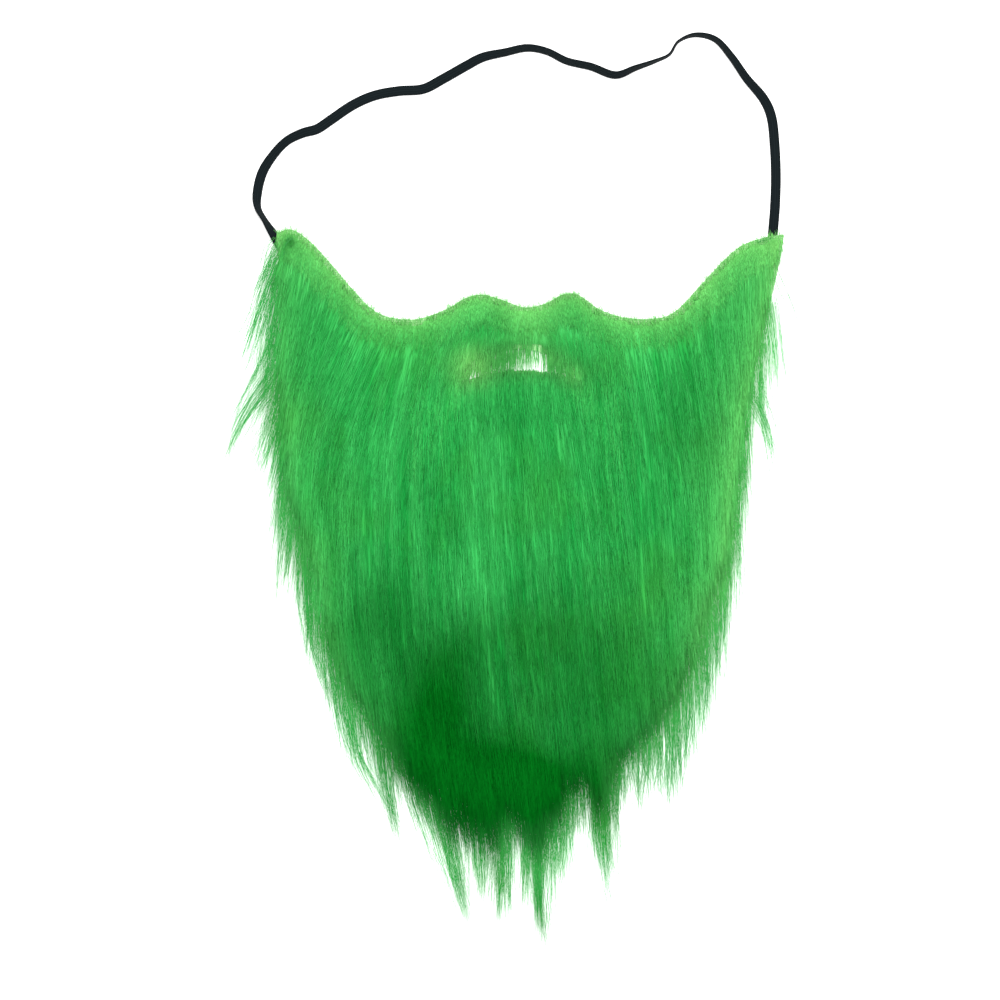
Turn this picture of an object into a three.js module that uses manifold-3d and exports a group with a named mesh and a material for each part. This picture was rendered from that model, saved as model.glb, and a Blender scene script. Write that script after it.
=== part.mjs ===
// A false beard lying flat, face side down, as it is laid on a table: one cut of long-pile fur cloth
// with ear tabs, a moustache strip and a mouth slit, and a flat elastic from tab to tab.
// Millimetres. +Z is up out of the table, +Y points from the chin to the strap, +X to the right.
import * as THREE from "three";
import { mergeVertices } from "three/addons/utils/BufferGeometryUtils.js";
import Module from "manifold-3d";

const wasm = await Module();
wasm.setup();

// Driving dimensions
const FUR_WIDTH = 278; // widest reach of the fibre, side to side
const FUR_LENGTH = 354; // from the ear tabs down to the longest tips
const BACKING_WALL = 1.5; // the knit cloth that carries the pile
const PILE_DEPTH = 16; // brushed-down pile over the table, where it is deepest
const LOCK_WIDTH = 23; // one lock of the beard, at its broadest
const MOUSTACHE_DEPTH = 12;
const MOUSTACHE_LOCK_WIDTH = 15;
const MOUTH_WIDTH = 60; // the slit, corner to corner
const MOUTH_GAP = 11; // cloth cut away at the middle of the slit
const MOUTH_ARCH = 6; // how far the lip edge rises over the corners
const STRAP_WIDTH = 5;
const STRAP_THICKNESS = 1;
const STRAP_REST = 0.2; // air under the strap where it lies on the table
const STRAP_CLEARANCE = 0.3; // between the strap and the cloth over its ends
const TAB_MARGIN = 3; // raised cloth on each side of a strap's end
const POCKET_REACH = 18; // the hollow under each tab, measured along the strap from its end
const PILE_COLOR = 0x2fa949;
const STRAP_COLOR = 0x1d2629;

// The edge of the cloth, clockwise from the left ear tab: shares of FUR_WIDTH and FUR_LENGTH from the middle.
const TOP_EDGE = [
  { x: -0.414, y: 0.492 }, { x: -0.387, y: 0.497 }, { x: -0.354, y: 0.48 }, { x: -0.318, y: 0.45 },
  { x: -0.28, y: 0.415 }, { x: -0.245, y: 0.386 }, { x: -0.21, y: 0.373 }, { x: -0.16, y: 0.371 },
  { x: -0.108, y: 0.385 }, { x: -0.075, y: 0.4 }, { x: -0.045, y: 0.405 }, { x: -0.01, y: 0.398 },
  { x: 0.032, y: 0.387 }, { x: 0.07, y: 0.393 }, { x: 0.1, y: 0.405 }, { x: 0.128, y: 0.405 },
  { x: 0.165, y: 0.385 }, { x: 0.21, y: 0.373 }, { x: 0.26, y: 0.371 }, { x: 0.3, y: 0.38 },
  { x: 0.345, y: 0.416 }, { x: 0.385, y: 0.45 }, { x: 0.421, y: 0.474 }, { x: 0.46, y: 0.485 },
  { x: 0.498, y: 0.49 },
];
const LOWER_EDGE = [
  { x: 0.498, y: 0.49 }, { x: 0.487, y: 0.44 }, { x: 0.453, y: 0.327 }, { x: 0.406, y: 0.157 },
  { x: 0.344, y: -0.015 }, { x: 0.25, y: -0.14 }, { x: 0.128, y: -0.215 }, { x: 0.01, y: -0.235 },
  { x: -0.1, y: -0.21 }, { x: -0.21, y: -0.145 }, { x: -0.308, y: -0.023 }, { x: -0.365, y: 0.13 },
  { x: -0.392, y: 0.29 }, { x: -0.408, y: 0.42 }, { x: -0.414, y: 0.492 },
];
const EDGE_STEPS_PER_POINT = 2;

// Locks of the beard from left to right. Roots, tips and bow are shares of FUR_WIDTH and FUR_LENGTH,
// breadth is a share of LOCK_WIDTH and depth of PILE_DEPTH. Roots lie past the edge, where the cut trims them.
const BEARD_LOCKS = [
  { rootX: -0.401, rootY: 0.451, tipX: -0.496, tipY: 0.19, bow: 0.006, breadth: 0.4, depth: 0.36 },
  { rootX: -0.39, rootY: 0.504, tipX: -0.437, tipY: 0.254, bow: -0.011, breadth: 0.7, depth: 0.5 },
  { rootX: -0.372, rootY: 0.504, tipX: -0.421, tipY: 0.115, bow: -0.007, breadth: 0.85, depth: 0.62 },
  { rootX: -0.347, rootY: 0.489, tipX: -0.401, tipY: 0.005, bow: -0.007, breadth: 1, depth: 0.72 },
  { rootX: -0.318, rootY: 0.461, tipX: -0.367, tipY: -0.085, bow: -0.018, breadth: 1, depth: 0.8 },
  { rootX: -0.279, rootY: 0.419, tipX: -0.306, tipY: -0.213, bow: -0.043, breadth: 1, depth: 0.88 },
  { rootX: -0.236, rootY: 0.391, tipX: -0.205, tipY: -0.345, bow: -0.052, breadth: 1, depth: 0.92 },
  { rootX: -0.189, rootY: 0.386, tipX: -0.133, tipY: -0.376, bow: -0.05, breadth: 1, depth: 1 },
  { rootX: -0.138, rootY: 0.389, tipX: -0.07, tipY: -0.458, bow: -0.038, breadth: 1, depth: 0.95 },
  { rootX: -0.088, rootY: 0.296, tipX: -0.013, tipY: -0.433, bow: -0.022, breadth: 1, depth: 1 },
  { rootX: -0.034, rootY: 0.31, tipX: 0.068, tipY: -0.498, bow: -0.013, breadth: 1, depth: 0.95 },
  { rootX: 0.02, rootY: 0.316, tipX: 0.095, tipY: -0.41, bow: -0.004, breadth: 1, depth: 1 },
  { rootX: 0.074, rootY: 0.313, tipX: 0.183, tipY: -0.457, bow: 0.002, breadth: 1, depth: 0.95 },
  { rootX: 0.128, rootY: 0.296, tipX: 0.221, tipY: -0.34, bow: 0.004, breadth: 1, depth: 1 },
  { rootX: 0.178, rootY: 0.389, tipX: 0.261, tipY: -0.306, bow: 0.004, breadth: 1, depth: 0.95 },
  { rootX: 0.228, rootY: 0.386, tipX: 0.311, tipY: -0.262, bow: 0.007, breadth: 1, depth: 1 },
  { rootX: 0.275, rootY: 0.388, tipX: 0.344, tipY: -0.207, bow: 0.009, breadth: 1, depth: 0.92 },
  { rootX: 0.32, rootY: 0.405, tipX: 0.369, tipY: -0.15, bow: 0.011, breadth: 1, depth: 0.88 },
  { rootX: 0.36, rootY: 0.437, tipX: 0.39, tipY: -0.071, bow: 0.014, breadth: 0.95, depth: 0.8 },
  { rootX: 0.397, rootY: 0.468, tipX: 0.405, tipY: 0.028, bow: 0.014, breadth: 0.9, depth: 0.72 },
  { rootX: 0.437, rootY: 0.491, tipX: 0.417, tipY: 0.132, bow: 0.011, breadth: 0.8, depth: 0.6 },
  { rootX: 0.469, rootY: 0.502, tipX: 0.475, tipY: 0.194, bow: 0, breadth: 0.45, depth: 0.45 },
];

// The moustache falls to both sides of a parting over the slit. The same columns, of its own sizes.
const MOUSTACHE_LOCKS = [
  { rootX: -0.11, rootY: 0.398, tipX: -0.165, tipY: 0.183, bow: -0.013, breadth: 1, depth: 1 },
  { rootX: -0.085, rootY: 0.412, tipX: -0.129, tipY: 0.21, bow: -0.013, breadth: 1, depth: 0.95 },
  { rootX: -0.052, rootY: 0.42, tipX: -0.092, tipY: 0.265, bow: -0.007, breadth: 1, depth: 0.95 },
  { rootX: -0.02, rootY: 0.42, tipX: -0.05, tipY: 0.297, bow: -0.004, breadth: 0.95, depth: 0.85 },
  { rootX: 0.007, rootY: 0.41, tipX: -0.016, tipY: 0.307, bow: -0.002, breadth: 0.85, depth: 0.7 },
  { rootX: 0.034, rootY: 0.402, tipX: 0.036, tipY: 0.33, bow: 0, breadth: 0.8, depth: 0.6 },
  { rootX: 0.063, rootY: 0.407, tipX: 0.085, tipY: 0.307, bow: 0.002, breadth: 0.85, depth: 0.7 },
  { rootX: 0.09, rootY: 0.42, tipX: 0.112, tipY: 0.292, bow: 0.004, breadth: 0.95, depth: 0.85 },
  { rootX: 0.121, rootY: 0.422, tipX: 0.149, tipY: 0.262, bow: 0.007, breadth: 1, depth: 0.95 },
  { rootX: 0.149, rootY: 0.412, tipX: 0.185, tipY: 0.21, bow: 0.011, breadth: 1, depth: 0.95 },
  { rootX: 0.178, rootY: 0.398, tipX: 0.218, tipY: 0.18, bow: 0.011, breadth: 1, depth: 1 },
];

// How a lock swells and thins from root to tip, as shares of its own breadth and depth.
const LOCK_SWELL = [
  { breadth: 0.62, depth: 0.3 }, { breadth: 0.9, depth: 0.68 }, { breadth: 1, depth: 0.92 },
  { breadth: 1, depth: 1 }, { breadth: 1, depth: 0.98 }, { breadth: 0.96, depth: 0.86 },
  { breadth: 0.78, depth: 0.6 }, { breadth: 0.45, depth: 0.3 }, { breadth: 0.07, depth: 0.06 },
];
// A lock's cut across: flat on the table, crowned above. Shares of half its breadth and of its depth.
const LOCK_SECTION = [
  { side: -1, up: 0 }, { side: 1, up: 0 }, { side: 0.64, up: 0.82 }, { side: 0, up: 1 }, { side: -0.64, up: 0.82 },
];
// Shorter locks that fill the notches between neighbours start and end at these shares of their length.
const FILLER_START = 0.5;
const FILLER_END = 0.9;
const FILLER_BREADTH = 0.75;
const FILLER_DEPTH = 0.8;

// The strap's way from under the left tab round to the right tab, chosen by hand:
// x, y in millimetres, twist in degrees from lying flat, and lift off the table.
const STRAP_ROUTE = [
  { x: -112.5, y: 166.5, twist: 0, lift: 0 }, { x: -117, y: 174, twist: 0, lift: 0 },
  { x: -121, y: 180.5, twist: 35, lift: 0 }, { x: -124.5, y: 186.8, twist: 40, lift: 0 },
  { x: -124.8, y: 194, twist: 15, lift: 0 }, { x: -122.5, y: 203.8, twist: 10, lift: 0 },
  { x: -117.5, y: 212.2, twist: 25, lift: 0 }, { x: -110.5, y: 219.8, twist: 30, lift: 0 },
  { x: -102.5, y: 224, twist: 20, lift: 0 }, { x: -95, y: 226.2, twist: 5, lift: 0 },
  { x: -88, y: 230.8, twist: 5, lift: 0 }, { x: -77, y: 238.2, twist: 5, lift: 0 },
  { x: -66, y: 243, twist: 0, lift: 0 }, { x: -54, y: 245.2, twist: 0, lift: 0 },
  { x: -42, y: 246.2, twist: 0, lift: 0 }, { x: -32, y: 251.2, twist: 10, lift: 0 },
  { x: -21, y: 257.4, twist: 15, lift: 0 }, { x: -12, y: 262, twist: 25, lift: 0 },
  { x: -1, y: 264.4, twist: 40, lift: 0 }, { x: 10, y: 266.6, twist: 45, lift: 0 },
  { x: 20, y: 264.8, twist: 50, lift: 0 }, { x: 30, y: 260, twist: 48, lift: 0 },
  { x: 42, y: 257.2, twist: 45, lift: 0 }, { x: 54, y: 253, twist: 45, lift: 0.5 },
  { x: 64, y: 256.4, twist: 60, lift: 1.5 }, { x: 74, y: 259.8, twist: 72, lift: 2.5 },
  { x: 81, y: 263, twist: 80, lift: 3.5 }, { x: 85.5, y: 269.4, twist: 80, lift: 4.5 },
  { x: 94, y: 272.6, twist: 68, lift: 5 }, { x: 104, y: 270.4, twist: 58, lift: 4 },
  { x: 112, y: 262, twist: 48, lift: 2.5 }, { x: 119.5, y: 251.5, twist: 38, lift: 1 },
  { x: 128, y: 241.5, twist: 18, lift: 0 }, { x: 132.2, y: 232, twist: 5, lift: 0 },
  { x: 133.8, y: 218, twist: 0, lift: 0 }, { x: 134.4, y: 203, twist: 0, lift: 0 },
  { x: 134, y: 188, twist: 0, lift: 0 }, { x: 133, y: 175, twist: 0, lift: 0 },
  { x: 132.6, y: 166.5, twist: 0, lift: 0 },
];
const STRAP_STEPS = 80;
const STRAP_EDGE_SHARE = 0.55; // how much of the strap's thickness is left at its thinner rims

// Solids and meshes: a closed geometry becomes a solid for joining and cutting, and comes back as a mesh.
function solidOf(geometry) {
  const bare = geometry.index ? geometry.toNonIndexed() : geometry.clone();
  bare.deleteAttribute("normal");
  bare.deleteAttribute("uv");
  const merged = mergeVertices(bare, 1e-4);
  return new wasm.Manifold(new wasm.Mesh({
    numProp: 3,
    vertProperties: new Float32Array(merged.attributes.position.array),
    triVerts: new Uint32Array(merged.index.array),
  }));
}

function geometryOf(solid) {
  const mesh = solid.getMesh();
  const geometry = new THREE.BufferGeometry();
  geometry.setAttribute("position", new THREE.BufferAttribute(new Float32Array(mesh.vertProperties), 3));
  geometry.setIndex(new THREE.BufferAttribute(new Uint32Array(mesh.triVerts), 1));
  geometry.computeVertexNormals();
  return geometry;
}

function placeOnFur(point) {
  return new THREE.Vector2(point.x * FUR_WIDTH, point.y * FUR_LENGTH);
}

// The cloth: its cut edge as a shape, and a slab of any height over it.
function edgePoints(edge) {
  const curve = new THREE.SplineCurve(edge.map(placeOnFur));
  return curve.getPoints((edge.length - 1) * EDGE_STEPS_PER_POINT).slice(0, -1);
}

function clothShape() {
  return new THREE.Shape([...edgePoints(TOP_EDGE), ...edgePoints(LOWER_EDGE)].reverse());
}

function clothSlab(height) {
  return solidOf(new THREE.ExtrudeGeometry(clothShape(), { depth: height, bevelEnabled: false }));
}

// All the room below the cut top edge, as high as the pile: what is past it was cut away with the cloth.
function belowTopEdge() {
  const leftTab = TOP_EDGE[0];
  const rightTab = TOP_EDGE[TOP_EDGE.length - 1];
  const outline = [
    placeOnFur({ x: -1, y: leftTab.y }), ...edgePoints(TOP_EDGE), placeOnFur({ x: 1, y: rightTab.y }),
    placeOnFur({ x: 1, y: -1 }), placeOnFur({ x: -1, y: -1 }),
  ];
  const room = new THREE.Shape(outline.reverse());
  return solidOf(new THREE.ExtrudeGeometry(room, { depth: 2 * PILE_DEPTH, bevelEnabled: false }));
}

// The mouth slit: two arcs from corner to corner, the lip edge below and the moustache edge above.
const MOUTH_MIDDLE = placeOnFur({ x: 0.025, y: 0.281 });
const CUT_REACH = 5; // how far a cutting tool runs past the faces that it cuts

function mouthCutter() {
  const half = MOUTH_WIDTH / 2;
  const slit = new THREE.Shape();
  slit.moveTo(-half, 0);
  slit.quadraticCurveTo(0, 2 * MOUTH_ARCH, half, 0);
  slit.quadraticCurveTo(0, 2 * (MOUTH_ARCH + MOUTH_GAP), -half, 0);
  const options = { depth: PILE_DEPTH + 2 * CUT_REACH, bevelEnabled: false, curveSegments: 10 };
  const cutter = new THREE.ExtrudeGeometry(slit, options);
  cutter.translate(MOUTH_MIDDLE.x, MOUTH_MIDDLE.y, -CUT_REACH);
  return solidOf(cutter);
}

// One lock: a section extruded over as many steps as LOCK_SWELL has rows, then laid along a bowed line.
function lockSolid(root, tip, bow, halfBreadth, depth) {
  const middle = root.clone().lerp(tip, 0.5);
  middle.x += 2 * bow;
  const line = new THREE.QuadraticBezierCurve(root, middle, tip);
  const section = new THREE.Shape(LOCK_SECTION.map(({ side, up }) => new THREE.Vector2(side, up)));
  const steps = LOCK_SWELL.length - 1;
  const geometry = new THREE.ExtrudeGeometry(section, { depth: 1, steps, bevelEnabled: false });
  const position = geometry.attributes.position;
  for (let i = 0; i < position.count; i += 1) {
    const along = position.getZ(i);
    const swell = LOCK_SWELL[Math.round(along * steps)];
    const center = line.getPointAt(along);
    const heading = line.getTangentAt(along);
    const aside = position.getX(i) * halfBreadth * swell.breadth;
    const height = position.getY(i) * depth * swell.depth;
    position.setXYZ(i, center.x - heading.y * aside, center.y + heading.x * aside, height);
  }
  return solidOf(geometry);
}

function locksFrom(rows, width, depth) {
  return rows.map((row) => lockSolid(
    placeOnFur({ x: row.rootX, y: row.rootY }),
    placeOnFur({ x: row.tipX, y: row.tipY }),
    row.bow * FUR_WIDTH,
    (row.breadth * width) / 2,
    row.depth * depth,
  ));
}

function between(a, b, share) {
  return a + (b - a) * share;
}

// A shorter lock in each notch between two neighbours, halfway between them.
function fillerRows(rows) {
  return rows.slice(1).map((right, i) => {
    const left = rows[i];
    const rootX = between(left.rootX, right.rootX, 0.5);
    const rootY = between(left.rootY, right.rootY, 0.5);
    const tipX = between(left.tipX, right.tipX, 0.5);
    const tipY = Math.max(left.tipY, right.tipY);
    const bow = between(left.bow, right.bow, 0.5);
    return {
      rootX: between(rootX, tipX, FILLER_START) + bow,
      rootY: between(rootY, tipY, FILLER_START),
      tipX: between(rootX, tipX, FILLER_END) + bow * (1 - FILLER_END),
      tipY: between(rootY, tipY, FILLER_END),
      bow: 0,
      breadth: FILLER_BREADTH,
      depth: FILLER_DEPTH * between(left.depth, right.depth, 0.5),
    };
  });
}

const CRUMB_VOLUME = 1; // in cubic millimetres: a smaller shell, or air sealed between locks, isn't kept

// Under each tab the cloth is raised over the strap's end, and the strap lies in the hollow.
const POCKET_HEIGHT = STRAP_REST + STRAP_THICKNESS + STRAP_CLEARANCE;

function strapEndBlock(end, next, margin, height, bottom) {
  const heading = new THREE.Vector2(next.x - end.x, next.y - end.y).normalize();
  const length = POCKET_REACH + STRAP_CLEARANCE + margin;
  const block = new THREE.BoxGeometry(length, STRAP_WIDTH + 2 * (STRAP_CLEARANCE + margin), height - bottom);
  block.translate(length / 2 - STRAP_CLEARANCE - margin, 0, (height + bottom) / 2);
  block.rotateZ(heading.angle());
  block.translate(end.x, end.y, 0);
  return solidOf(block);
}

function strapEnds() {
  const last = STRAP_ROUTE.length - 1;
  return [[STRAP_ROUTE[0], STRAP_ROUTE[1]], [STRAP_ROUTE[last], STRAP_ROUTE[last - 1]]];
}

function furGeometry() {
  const raised = POCKET_HEIGHT + BACKING_WALL;
  const tabs = strapEnds().map(([end, next]) => (
    clothSlab(raised).intersect(strapEndBlock(end, next, TAB_MARGIN, raised, 0))
  ));
  const slit = mouthCutter();
  const beardPile = wasm.Manifold.union([
    ...locksFrom(BEARD_LOCKS, LOCK_WIDTH, PILE_DEPTH),
    ...locksFrom(fillerRows(BEARD_LOCKS), LOCK_WIDTH, PILE_DEPTH),
  ]).subtract(slit);
  const moustache = wasm.Manifold.union(
    locksFrom(MOUSTACHE_LOCKS, MOUSTACHE_LOCK_WIDTH, MOUSTACHE_DEPTH),
  );
  const pile = beardPile.add(moustache).intersect(belowTopEdge());
  const joined = wasm.Manifold.union([clothSlab(BACKING_WALL).subtract(slit), ...tabs, pile]);
  const pockets = strapEnds().map(([end, next]) => (
    strapEndBlock(end, next, 0, POCKET_HEIGHT, -CUT_REACH)
  ));
  const hollowed = joined.subtract(wasm.Manifold.union(pockets));
  const shells = hollowed.decompose().filter((shell) => shell.volume() > CRUMB_VOLUME);
  return geometryOf(wasm.Manifold.union(shells));
}

// The strap: a flat band whose frame turns about its own line, so that it can lie flat or on its edge.
class StrapCurve extends THREE.CatmullRomCurve3 {
  constructor(route) {
    super(route.map(({ x, y, twist, lift }) => {
      const turn = THREE.MathUtils.degToRad(twist);
      const halfHeight = (STRAP_WIDTH * Math.sin(turn) + STRAP_THICKNESS * Math.cos(turn)) / 2;
      return new THREE.Vector3(x, y, STRAP_REST + halfHeight + lift);
    }));
    this.twists = route.map(({ twist }) => THREE.MathUtils.degToRad(twist));
  }

  twistAt(u) {
    const place = this.getUtoTmapping(u) * (this.twists.length - 1);
    const before = Math.min(Math.floor(place), this.twists.length - 2);
    return THREE.MathUtils.lerp(this.twists[before], this.twists[before + 1], place - before);
  }

  computeFrenetFrames(segments) {
    const tangents = [];
    const normals = [];
    const binormals = [];
    const up = new THREE.Vector3(0, 0, 1);
    for (let i = 0; i <= segments; i += 1) {
      const tangent = this.getTangentAt(i / segments);
      const side = new THREE.Vector3().crossVectors(up, tangent).normalize();
      const normal = side.applyAxisAngle(tangent, this.twistAt(i / segments));
      tangents.push(tangent);
      normals.push(normal);
      binormals.push(new THREE.Vector3().crossVectors(tangent, normal));
    }
    return { tangents, normals, binormals };
  }
}

function strapSection() {
  const half = STRAP_WIDTH / 2;
  const thick = STRAP_THICKNESS / 2;
  const rim = thick * STRAP_EDGE_SHARE;
  const shoulder = half - thick;
  return new THREE.Shape([
    new THREE.Vector2(-half, -rim), new THREE.Vector2(-shoulder, -thick),
    new THREE.Vector2(shoulder, -thick), new THREE.Vector2(half, -rim),
    new THREE.Vector2(half, rim), new THREE.Vector2(shoulder, thick),
    new THREE.Vector2(-shoulder, thick), new THREE.Vector2(-half, rim),
  ]);
}

function strapGeometry() {
  const extrudePath = new StrapCurve(STRAP_ROUTE);
  return new THREE.ExtrudeGeometry(strapSection(), { steps: STRAP_STEPS, extrudePath });
}

function namedMesh(name, geometry, color, roughness) {
  const mesh = new THREE.Mesh(geometry, new THREE.MeshStandardMaterial({ color, roughness, metalness: 0 }));
  mesh.name = name;
  return mesh;
}

const beard = new THREE.Group();
beard.add(namedMesh("faux_fur_beard", furGeometry(), PILE_COLOR, 0.6));
beard.add(namedMesh("elastic_strap", strapGeometry(), STRAP_COLOR, 0.8));

export default beard;
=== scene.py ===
# %% [markdown]
# # A false beard of long-pile fur, laid on a table
#
# The real beard is one cut of fur cloth: a knit back with acrylic fibres a hand's width long, brushed
# down towards the chin. A flat elastic is sewn under both ear tabs. The solids that carry it are loaded
# first, and every piece below takes its place from them.

# %% Load the solids
import math

import bmesh
import bpy
import numpy as np
from mathutils import Matrix, Vector
from mathutils.bvhtree import BVHTree
from mathutils.kdtree import KDTree


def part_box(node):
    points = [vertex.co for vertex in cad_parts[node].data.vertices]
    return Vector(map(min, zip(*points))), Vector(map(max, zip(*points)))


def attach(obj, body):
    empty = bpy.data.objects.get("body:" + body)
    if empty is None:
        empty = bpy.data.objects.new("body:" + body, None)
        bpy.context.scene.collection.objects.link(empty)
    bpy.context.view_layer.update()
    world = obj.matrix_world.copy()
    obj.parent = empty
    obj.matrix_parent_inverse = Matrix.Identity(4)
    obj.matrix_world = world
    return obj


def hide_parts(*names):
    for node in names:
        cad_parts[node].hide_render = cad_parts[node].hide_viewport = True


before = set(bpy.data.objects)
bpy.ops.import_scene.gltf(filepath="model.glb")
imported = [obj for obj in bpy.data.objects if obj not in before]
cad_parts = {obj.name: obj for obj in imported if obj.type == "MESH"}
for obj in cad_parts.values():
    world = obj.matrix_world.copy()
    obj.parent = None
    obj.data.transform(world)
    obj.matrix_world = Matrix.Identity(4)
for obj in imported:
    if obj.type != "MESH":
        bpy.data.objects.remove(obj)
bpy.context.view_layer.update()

MM = 0.001
FUR_NODE, STRAP_NODE = "faux_fur_beard", "elastic_strap"
FUR_WIDTH = 278 * MM
FUR_LENGTH = 354 * MM
BODY = "root"
rng = np.random.default_rng(17)

# %% [markdown]
# ## The camera
#
# The picture is taken straight down, with half a metre of table across it. A long lens high over the
# table keeps the sides of the thick pile out of sight, as a product photographer's lens does. A short
# lens nearby would give the same frame, but would show the fringe from the side.

# %% Camera
TABLE_SHOWN = 500 * MM
SHOWN_MIDDLE = Vector((-3.5 * MM, 40.75 * MM, 0))
CAMERA_HEIGHT = 2.6
SENSOR = 36

camera_data = bpy.data.cameras.new("camera")
camera_data.sensor_width = SENSOR
camera_data.lens = SENSOR * CAMERA_HEIGHT / TABLE_SHOWN
camera = bpy.data.objects.new("camera", camera_data)
camera.location = SHOWN_MIDDLE + Vector((0, 0, CAMERA_HEIGHT))
bpy.context.scene.collection.objects.link(camera)
bpy.context.scene.camera = camera
print("lens:", round(camera_data.lens), "mm")

# %% [markdown]
# ## Smooth lines through a few points
#
# The strap's way and the cloth's edge are both given by a few points. A Catmull-Rom line passes through
# every point it is given, which a Bezier's control points would not, so it is used for both.


# %% Smooth lines
def smooth_line(points, steps):
    """A Catmull-Rom line through the points, with so many steps from each to the next."""
    points = np.asarray(points, float)
    padded = np.vstack([2 * points[0] - points[1], points, 2 * points[-1] - points[-2]])
    share = np.arange(steps)[:, None] / steps
    parts = []
    for a, b, c, d in zip(padded, padded[1:], padded[2:], padded[3:]):
        parts.append(
            0.5 * (2 * b + (c - a) * share + (2 * a - 5 * b + 4 * c - d) * share**2
                   + (3 * b - a - 3 * c + d) * share**3)
        )
    return np.vstack(parts + [points[-1:]])


def line_length(points):
    return float(np.linalg.norm(np.diff(points, axis=0), axis=1).sum())


def way_along(points):
    """How far along its line each point is."""
    return np.concatenate([[0], np.cumsum(np.linalg.norm(np.diff(points, axis=0), axis=1))])


def even_steps(line, steps):
    """The same line with its points spread evenly."""
    run = way_along(line)
    even = np.linspace(0, run[-1], steps)
    return np.stack([np.interp(even, run, line[:, 0]), np.interp(even, run, line[:, 1])], 1)


def mesh_from(bm, name):
    mesh = bpy.data.meshes.new(name)
    bm.to_mesh(mesh)
    bm.free()
    return mesh


def new_object(name, mesh):
    piece = bpy.data.objects.new(name, mesh)
    bpy.context.scene.collection.objects.link(piece)
    return piece


def ease(low, high, value):
    """0 below low, 1 above high, and a soft step between."""
    share = np.clip((value - low) / (high - low), 0, 1)
    return share * share * (3 - 2 * share)


# %% [markdown]
# ## The elastic strap
#
# Flat braided elastic, 5 mm wide, keeps half-turns in it after it comes off its card, so parts of it
# lie flat and a part stands on its edge. A curve with a profile could turn it by its tilt, but rings
# placed one by one give each side its own place in a UV map, and the braid needs that.

# %% Strap
STRAP_WIDTH = 5 * MM
STRAP_THICKNESS = 1 * MM
STRAP_REST = 0.2 * MM
# x, y and lift off the table in millimetres, and twist from lying flat in degrees
STRAP_ROUTE = [
    (-112.5, 166.5, 0, 0), (-117, 174, 30, 0), (-121, 180.5, 58, 0), (-124.5, 186.8, 50, 0),
    (-124.8, 194, 20, 0), (-122.5, 203.8, 10, 0), (-117.5, 212.2, 25, 0), (-110.5, 219.8, 30, 0),
    (-102.5, 224, 20, 0), (-95, 226.2, 5, 0), (-88, 230.8, 5, 0), (-77, 238.2, 5, 0),
    (-66, 243, 0, 0), (-54, 245.2, 0, 0), (-42, 246.2, 0, 0), (-32, 251.2, 10, 0),
    (-21, 257.4, 15, 0), (-12, 262, 25, 0), (-1, 264.4, 40, 0), (10, 266.6, 45, 0),
    (20, 264.8, 50, 0), (30, 260, 48, 0), (42, 257.2, 45, 0), (54, 253, 45, 0.5),
    (64, 256.4, 60, 1.5), (74, 259.8, 72, 2.5), (81, 263, 80, 3.5), (85.5, 269.4, 80, 4.5),
    (94, 272.6, 68, 5), (104, 270.4, 58, 4), (112, 262, 48, 2.5), (119.5, 251.5, 38, 1),
    (128, 241.5, 18, 0), (132.2, 232, 5, 0), (133.8, 218, 0, 0), (134.4, 203, 0, 0),
    (134, 188, 0, 0), (133, 175, 0, 0), (132.6, 166.5, 0, 0),
]
STRAP_STEPS = 10
STRAP_SIDES = 14
# how round the section is to the side and upward: 1 is an ellipse, less is squarer
ROUND_SIDE, ROUND_UP = 0.55, 0.75


def strap_line():
    """The middle of the strap and its twist, with the lower edge on the table."""
    rows = []
    for x, y, twist, lift in STRAP_ROUTE:
        turn = math.radians(twist)
        half_height = (STRAP_WIDTH * math.sin(turn) + STRAP_THICKNESS * math.cos(turn)) / 2
        rows.append((x * MM, y * MM, STRAP_REST + half_height + lift * MM, turn))
    return smooth_line(rows, STRAP_STEPS)


def strap_mesh(line):
    """Rings of a rounded flat section, turned by the twist, joined into one closed skin."""
    middle, twist = line[:, :3], line[:, 3]
    heading = np.gradient(middle, axis=0)
    heading /= np.linalg.norm(heading, axis=1)[:, None]
    level = np.cross((0, 0, 1), heading)
    level /= np.linalg.norm(level, axis=1)[:, None]
    broad = level * np.cos(twist)[:, None] + np.cross(heading, level) * np.sin(twist)[:, None]
    thin = np.cross(heading, broad)
    run = way_along(middle)
    bm = bmesh.new()
    uv = bm.loops.layers.uv.new("braid")
    rings = []
    for place, side, up in zip(middle, broad, thin):
        ring = []
        for k in range(STRAP_SIDES):
            angle = 2 * math.pi * k / STRAP_SIDES
            across = math.copysign(abs(math.cos(angle)) ** ROUND_SIDE, math.cos(angle)) * STRAP_WIDTH / 2
            rise = math.copysign(abs(math.sin(angle)) ** ROUND_UP, math.sin(angle)) * STRAP_THICKNESS / 2
            ring.append(bm.verts.new(place + side * across + up * rise))
        rings.append(ring)
    for i in range(len(rings) - 1):
        for k in range(STRAP_SIDES):
            after = (k + 1) % STRAP_SIDES
            face = bm.faces.new((rings[i][k], rings[i + 1][k], rings[i + 1][after], rings[i][after]))
            corners = ((i, k), (i + 1, k), (i + 1, k + 1), (i, k + 1))
            for loop, (ring_no, side_no) in zip(face.loops, corners):
                loop[uv].uv = (side_no / STRAP_SIDES, run[ring_no] / STRAP_WIDTH)
    bm.faces.new(rings[0])
    bm.faces.new(rings[-1][::-1])
    bmesh.ops.recalc_face_normals(bm, faces=bm.faces)
    mesh = mesh_from(bm, "elastic_braid")
    mesh.shade_smooth()
    return mesh


strap_middle = strap_line()
strap = new_object("elastic_braid", strap_mesh(strap_middle))

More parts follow.
